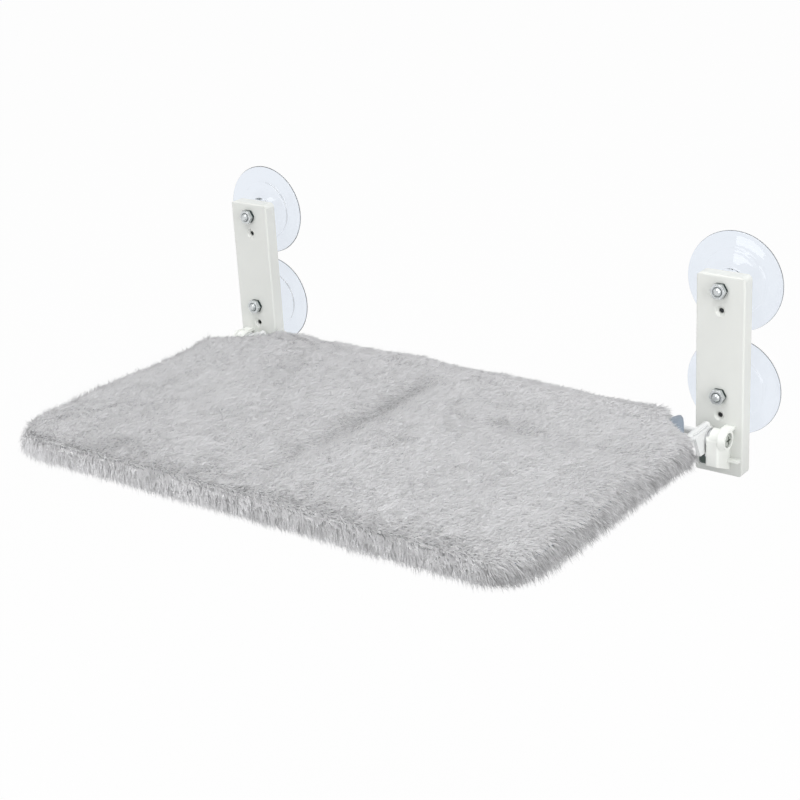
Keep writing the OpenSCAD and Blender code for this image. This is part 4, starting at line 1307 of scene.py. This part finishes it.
class PERCH_OT_window_hardware(bpy.types.Operator):
    """Makes the clear cups, the nuts and the studs' threads"""
    bl_idname = "perch.window_hardware"
    bl_label = "Cups, Nuts and Threads"

    def execute(self, context):
        hardware = context.scene.perch_hardware
        tree = grid_tree()
        cups = on_studs("suction_cups", lathe("cup", cup_section(hardware)), tree, MATERIALS["cup"], 0.0)
        cups.data.shade_smooth()
        finish_piece(cups, MATERIALS["cup"], WINDOW, "clear_cup", "left_upper_suction_cup",
                     "left_lower_suction_cup", "right_upper_suction_cup", "right_lower_suction_cup")
        nut = nut_mesh("nut", hardware.nut_af, NUT_T, hardware.stud_d / 2 + 0.1 * MM)
        nuts = on_studs("hex_nuts", nut, tree, MATERIALS["nut"], BRACKET_FRONT_Y)
        finish_piece(nuts, MATERIALS["nut"], WINDOW, "zinc_steel", "left_hex_nuts", "right_hex_nuts")
        length = BRACKET_FRONT_Y - NUT_T - STUD_END_Y
        thread = thread_mesh("thread", hardware.stud_d / 2 - 0.12 * MM, hardware.thread_pitch,
                             length + 0.6 * MM)
        threads = on_studs("stud_threads", thread, tree, MATERIALS["nut"],
                           BRACKET_FRONT_Y - NUT_T + 1.4 * MM)
        finish_piece(threads, MATERIALS["nut"], WINDOW, "zinc_steel")
        for side in ("left", "right"):
            dress(f"{side}_bracket", MATERIALS["moulding"])
            dress(f"{side}_cup_studs", MATERIALS["nut"])
            dress(f"{side}_hinge_bush", MATERIALS["bush"])
            # the buffer's dark colour is its rubber and also painted shade under the hinge link
            dress(f"{side}_stop_buffer", MATERIALS["rubber"])
        return {"FINISHED"}


# Steel frame and hinge

def bead(name, centres, r):
    """A rippled weld bead along a row of points."""
    bm = bmesh.new()
    for i, c in enumerate(centres):
        size = r * (1 + 0.12 * math.sin(i * 2.3))
        bmesh.ops.create_icosphere(bm, subdivisions=2, radius=size, matrix=Matrix.Translation(c))
    return bmesh_object(name, bm)


class PERCH_OT_frame(bpy.types.Operator):
    """Paints the steel frame and its hinge, and lays the weld beads"""
    bl_idname = "perch.frame"
    bl_label = "Frame and Hinge"

    def execute(self, context):
        for node in ("frame_loop", "rear_crossbar", "left_hinge_link", "right_hinge_link"):
            dress(node, MATERIALS["rod"])
        for side in ("left", "right"):
            dress(f"{side}_hinge_pin", MATERIALS["steel"])
            dress(f"{side}_pin_washer", MATERIALS["steel"])
            dress(f"{side}_pin_screw", MATERIALS["screw"])
        link_low, link_high = box("right_hinge_link")
        bar_low, bar_high = box("rear_crossbar")
        rod_r = (bar_high.z - bar_low.z) / 2
        centres = []
        for side in SIDES:
            x = side * (link_low.x - 0.2 * MM)
            for i in range(13):
                y = link_low.y + 3 * MM + (link_high.y - link_low.y - 6 * MM) * i / 12
                centres.append(Vector((x, y, LOOP_HIGH.z - 0.9 * MM)))
            for i in range(20):
                a = 2 * math.pi * i / 20
                centres.append(Vector((side * (LOOP_HIGH.x - 2 * rod_r + 0.3 * MM * abs(math.sin(a))),
                                       (bar_low.y + bar_high.y) / 2 + rod_r * math.cos(a),
                                       (bar_low.z + bar_high.z) / 2 + rod_r * math.sin(a))))
        welds = bead("weld_beads", centres, 0.75 * MM)
        finish_piece(welds, MATERIALS["rod"], PERCH, "white_rod")
        return {"FINISHED"}


# Stage

def seen_rays(tree):
    """1 for what the camera, mirrors and clear pieces see, and 0 for what only lights."""
    path = put(tree, "ShaderNodeLightPath").outputs
    seen = Field(tree, path["Is Camera Ray"])
    for label in ("Is Glossy Ray", "Is Transmission Ray"):
        seen = seen.math("MAXIMUM", path[label])
    return seen


def white_for_camera(tree, shader_output, amount):
    """Mixes plain white into what the camera, mirrors and clear pieces see of a surface."""
    white = put(tree, "ShaderNodeEmission", {"Color": (1, 1, 1, 1), "Strength": 1.0})
    return put(tree, "ShaderNodeMixShader",
               {0: seen_rays(tree) * amount, 1: shader_output, 2: white.outputs[0]})


class PERCH_OT_stage(bpy.types.Operator):
    """Sets the floor, the light and the camera of the photograph"""
    bl_idname = "perch.stage"
    bl_label = "Stage"

    def execute(self, context):
        stage = context.scene.perch_stage
        self.camera(context.scene, stage)
        self.floor(stage)
        self.lights(context.scene, stage)
        context.scene.view_settings.view_transform = "Standard"
        return {"FINISHED"}

    def camera(self, scene, stage):
        y, p, roll = stage.yaw, stage.pitch, stage.roll
        ahead = Vector((-math.sin(y) * math.cos(p), math.cos(y) * math.cos(p), -math.sin(p)))
        right = Vector((math.cos(y), math.sin(y), 0))
        up = right.cross(ahead)
        across = math.cos(roll) * right + math.sin(roll) * up
        upward = -math.sin(roll) * right + math.cos(roll) * up
        data = bpy.data.cameras.new("photo_camera")
        data.sensor_width = 36.0
        data.lens = stage.focal_px / stage.image_px * data.sensor_width
        data.shift_x = 0.5 - stage.centre_px[0] / stage.image_px
        data.shift_y = stage.centre_px[1] / stage.image_px - 0.5
        data.clip_end = 20.0
        camera = new_object("photo_camera", data)
        turn = Matrix((across, upward, -ahead)).transposed().to_4x4()
        camera.matrix_world = Matrix.Translation(Vector(stage.camera_at)) @ turn
        scene.camera = camera

    def floor(self, stage):
        size = 6.0
        z = -stage.floor_below
        corners = [(-size, -size, z), (size, -size, z), (size, size, z), (-size, size, z)]
        floor = mesh_object("floor", corners, [(0, 1, 2, 3)], smooth=False)
        material, tree, shader = new_material("Pale floor", Base_Color=(0.86, 0.86, 0.86, 1), Roughness=0.9)
        mixed = white_for_camera(tree, shader.outputs[0], 0.97)
        tree.links.new(mixed.outputs[0], tree.nodes["Material Output"].inputs["Surface"])
        floor.data.materials.append(material)

    def lights(self, scene, stage):
        world = bpy.data.worlds.new("studio")
        world.use_nodes = True
        scene.world = world
        tree = world.node_tree
        level = stage.world + seen_rays(tree) * (1.0 - stage.world)
        fill(tree, tree.nodes["Background"].inputs, {"Color": (1, 1, 1, 1), "Strength": level})
        middle = Vector((0, COVER_MID_Y, COVER_TOP_Z))
        for name, at, size, height, power in (("key_lamp", (0.2, -0.8, 2.0), 1.6, 1.6, stage.key),
                                              ("side_lamp", (2.1, -0.7, 0.7), 1.4, 1.4, stage.side),
                                              ("strip_lamp", (-0.5, -2.4, 0.5), 0.7, 1.4, stage.strip)):
            data = bpy.data.lights.new(name, "AREA")
            data.shape = "RECTANGLE"
            data.size = size
            data.size_y = height
            data.energy = power
            lamp = new_object(name, data)
            lamp.location = at
            lamp.rotation_euler = (middle - Vector(at)).to_track_quat("-Z", "Y").to_euler()


class PERCH_PT_panel(bpy.types.Panel):
    """Lists the perch's steps and sizes"""
    bl_idname = "PERCH_PT_panel"
    bl_label = "Cat Perch"
    bl_space_type = "VIEW_3D"
    bl_region_type = "UI"
    bl_category = "Cat Perch"

    def draw(self, context):
        layout = self.layout
        for operator in OPERATORS:
            layout.operator(operator.bl_idname)
        for name in NAMES:
            group = getattr(context.scene, name)
            rows = layout.box()
            for key in group.__annotations__:
                rows.prop(group, key)


OPERATORS = (PERCH_OT_stage, PERCH_OT_window_hardware, PERCH_OT_frame, PERCH_OT_plush_cover,
             PERCH_OT_cloth, PERCH_OT_seam, PERCH_OT_pad)
CLASSES = GROUPS + OPERATORS + (PERCH_PT_panel,)


def register():
    for cls in CLASSES:
        bpy.utils.register_class(cls)
    for name, group in zip(NAMES, GROUPS):
        setattr(bpy.types.Scene, name, PointerProperty(type=group))


def unregister():
    for name in NAMES:
        delattr(bpy.types.Scene, name)
    for cls in reversed(CLASSES):
        bpy.utils.unregister_class(cls)


def main():
    register()
    make_materials()
    bpy.ops.perch.stage()
    bpy.ops.perch.window_hardware()
    bpy.ops.perch.frame()
    bpy.ops.perch.plush_cover()
    bpy.ops.perch.cloth()
    bpy.ops.perch.seam()
    bpy.ops.perch.pad()


if __name__ == "__main__":
    main()
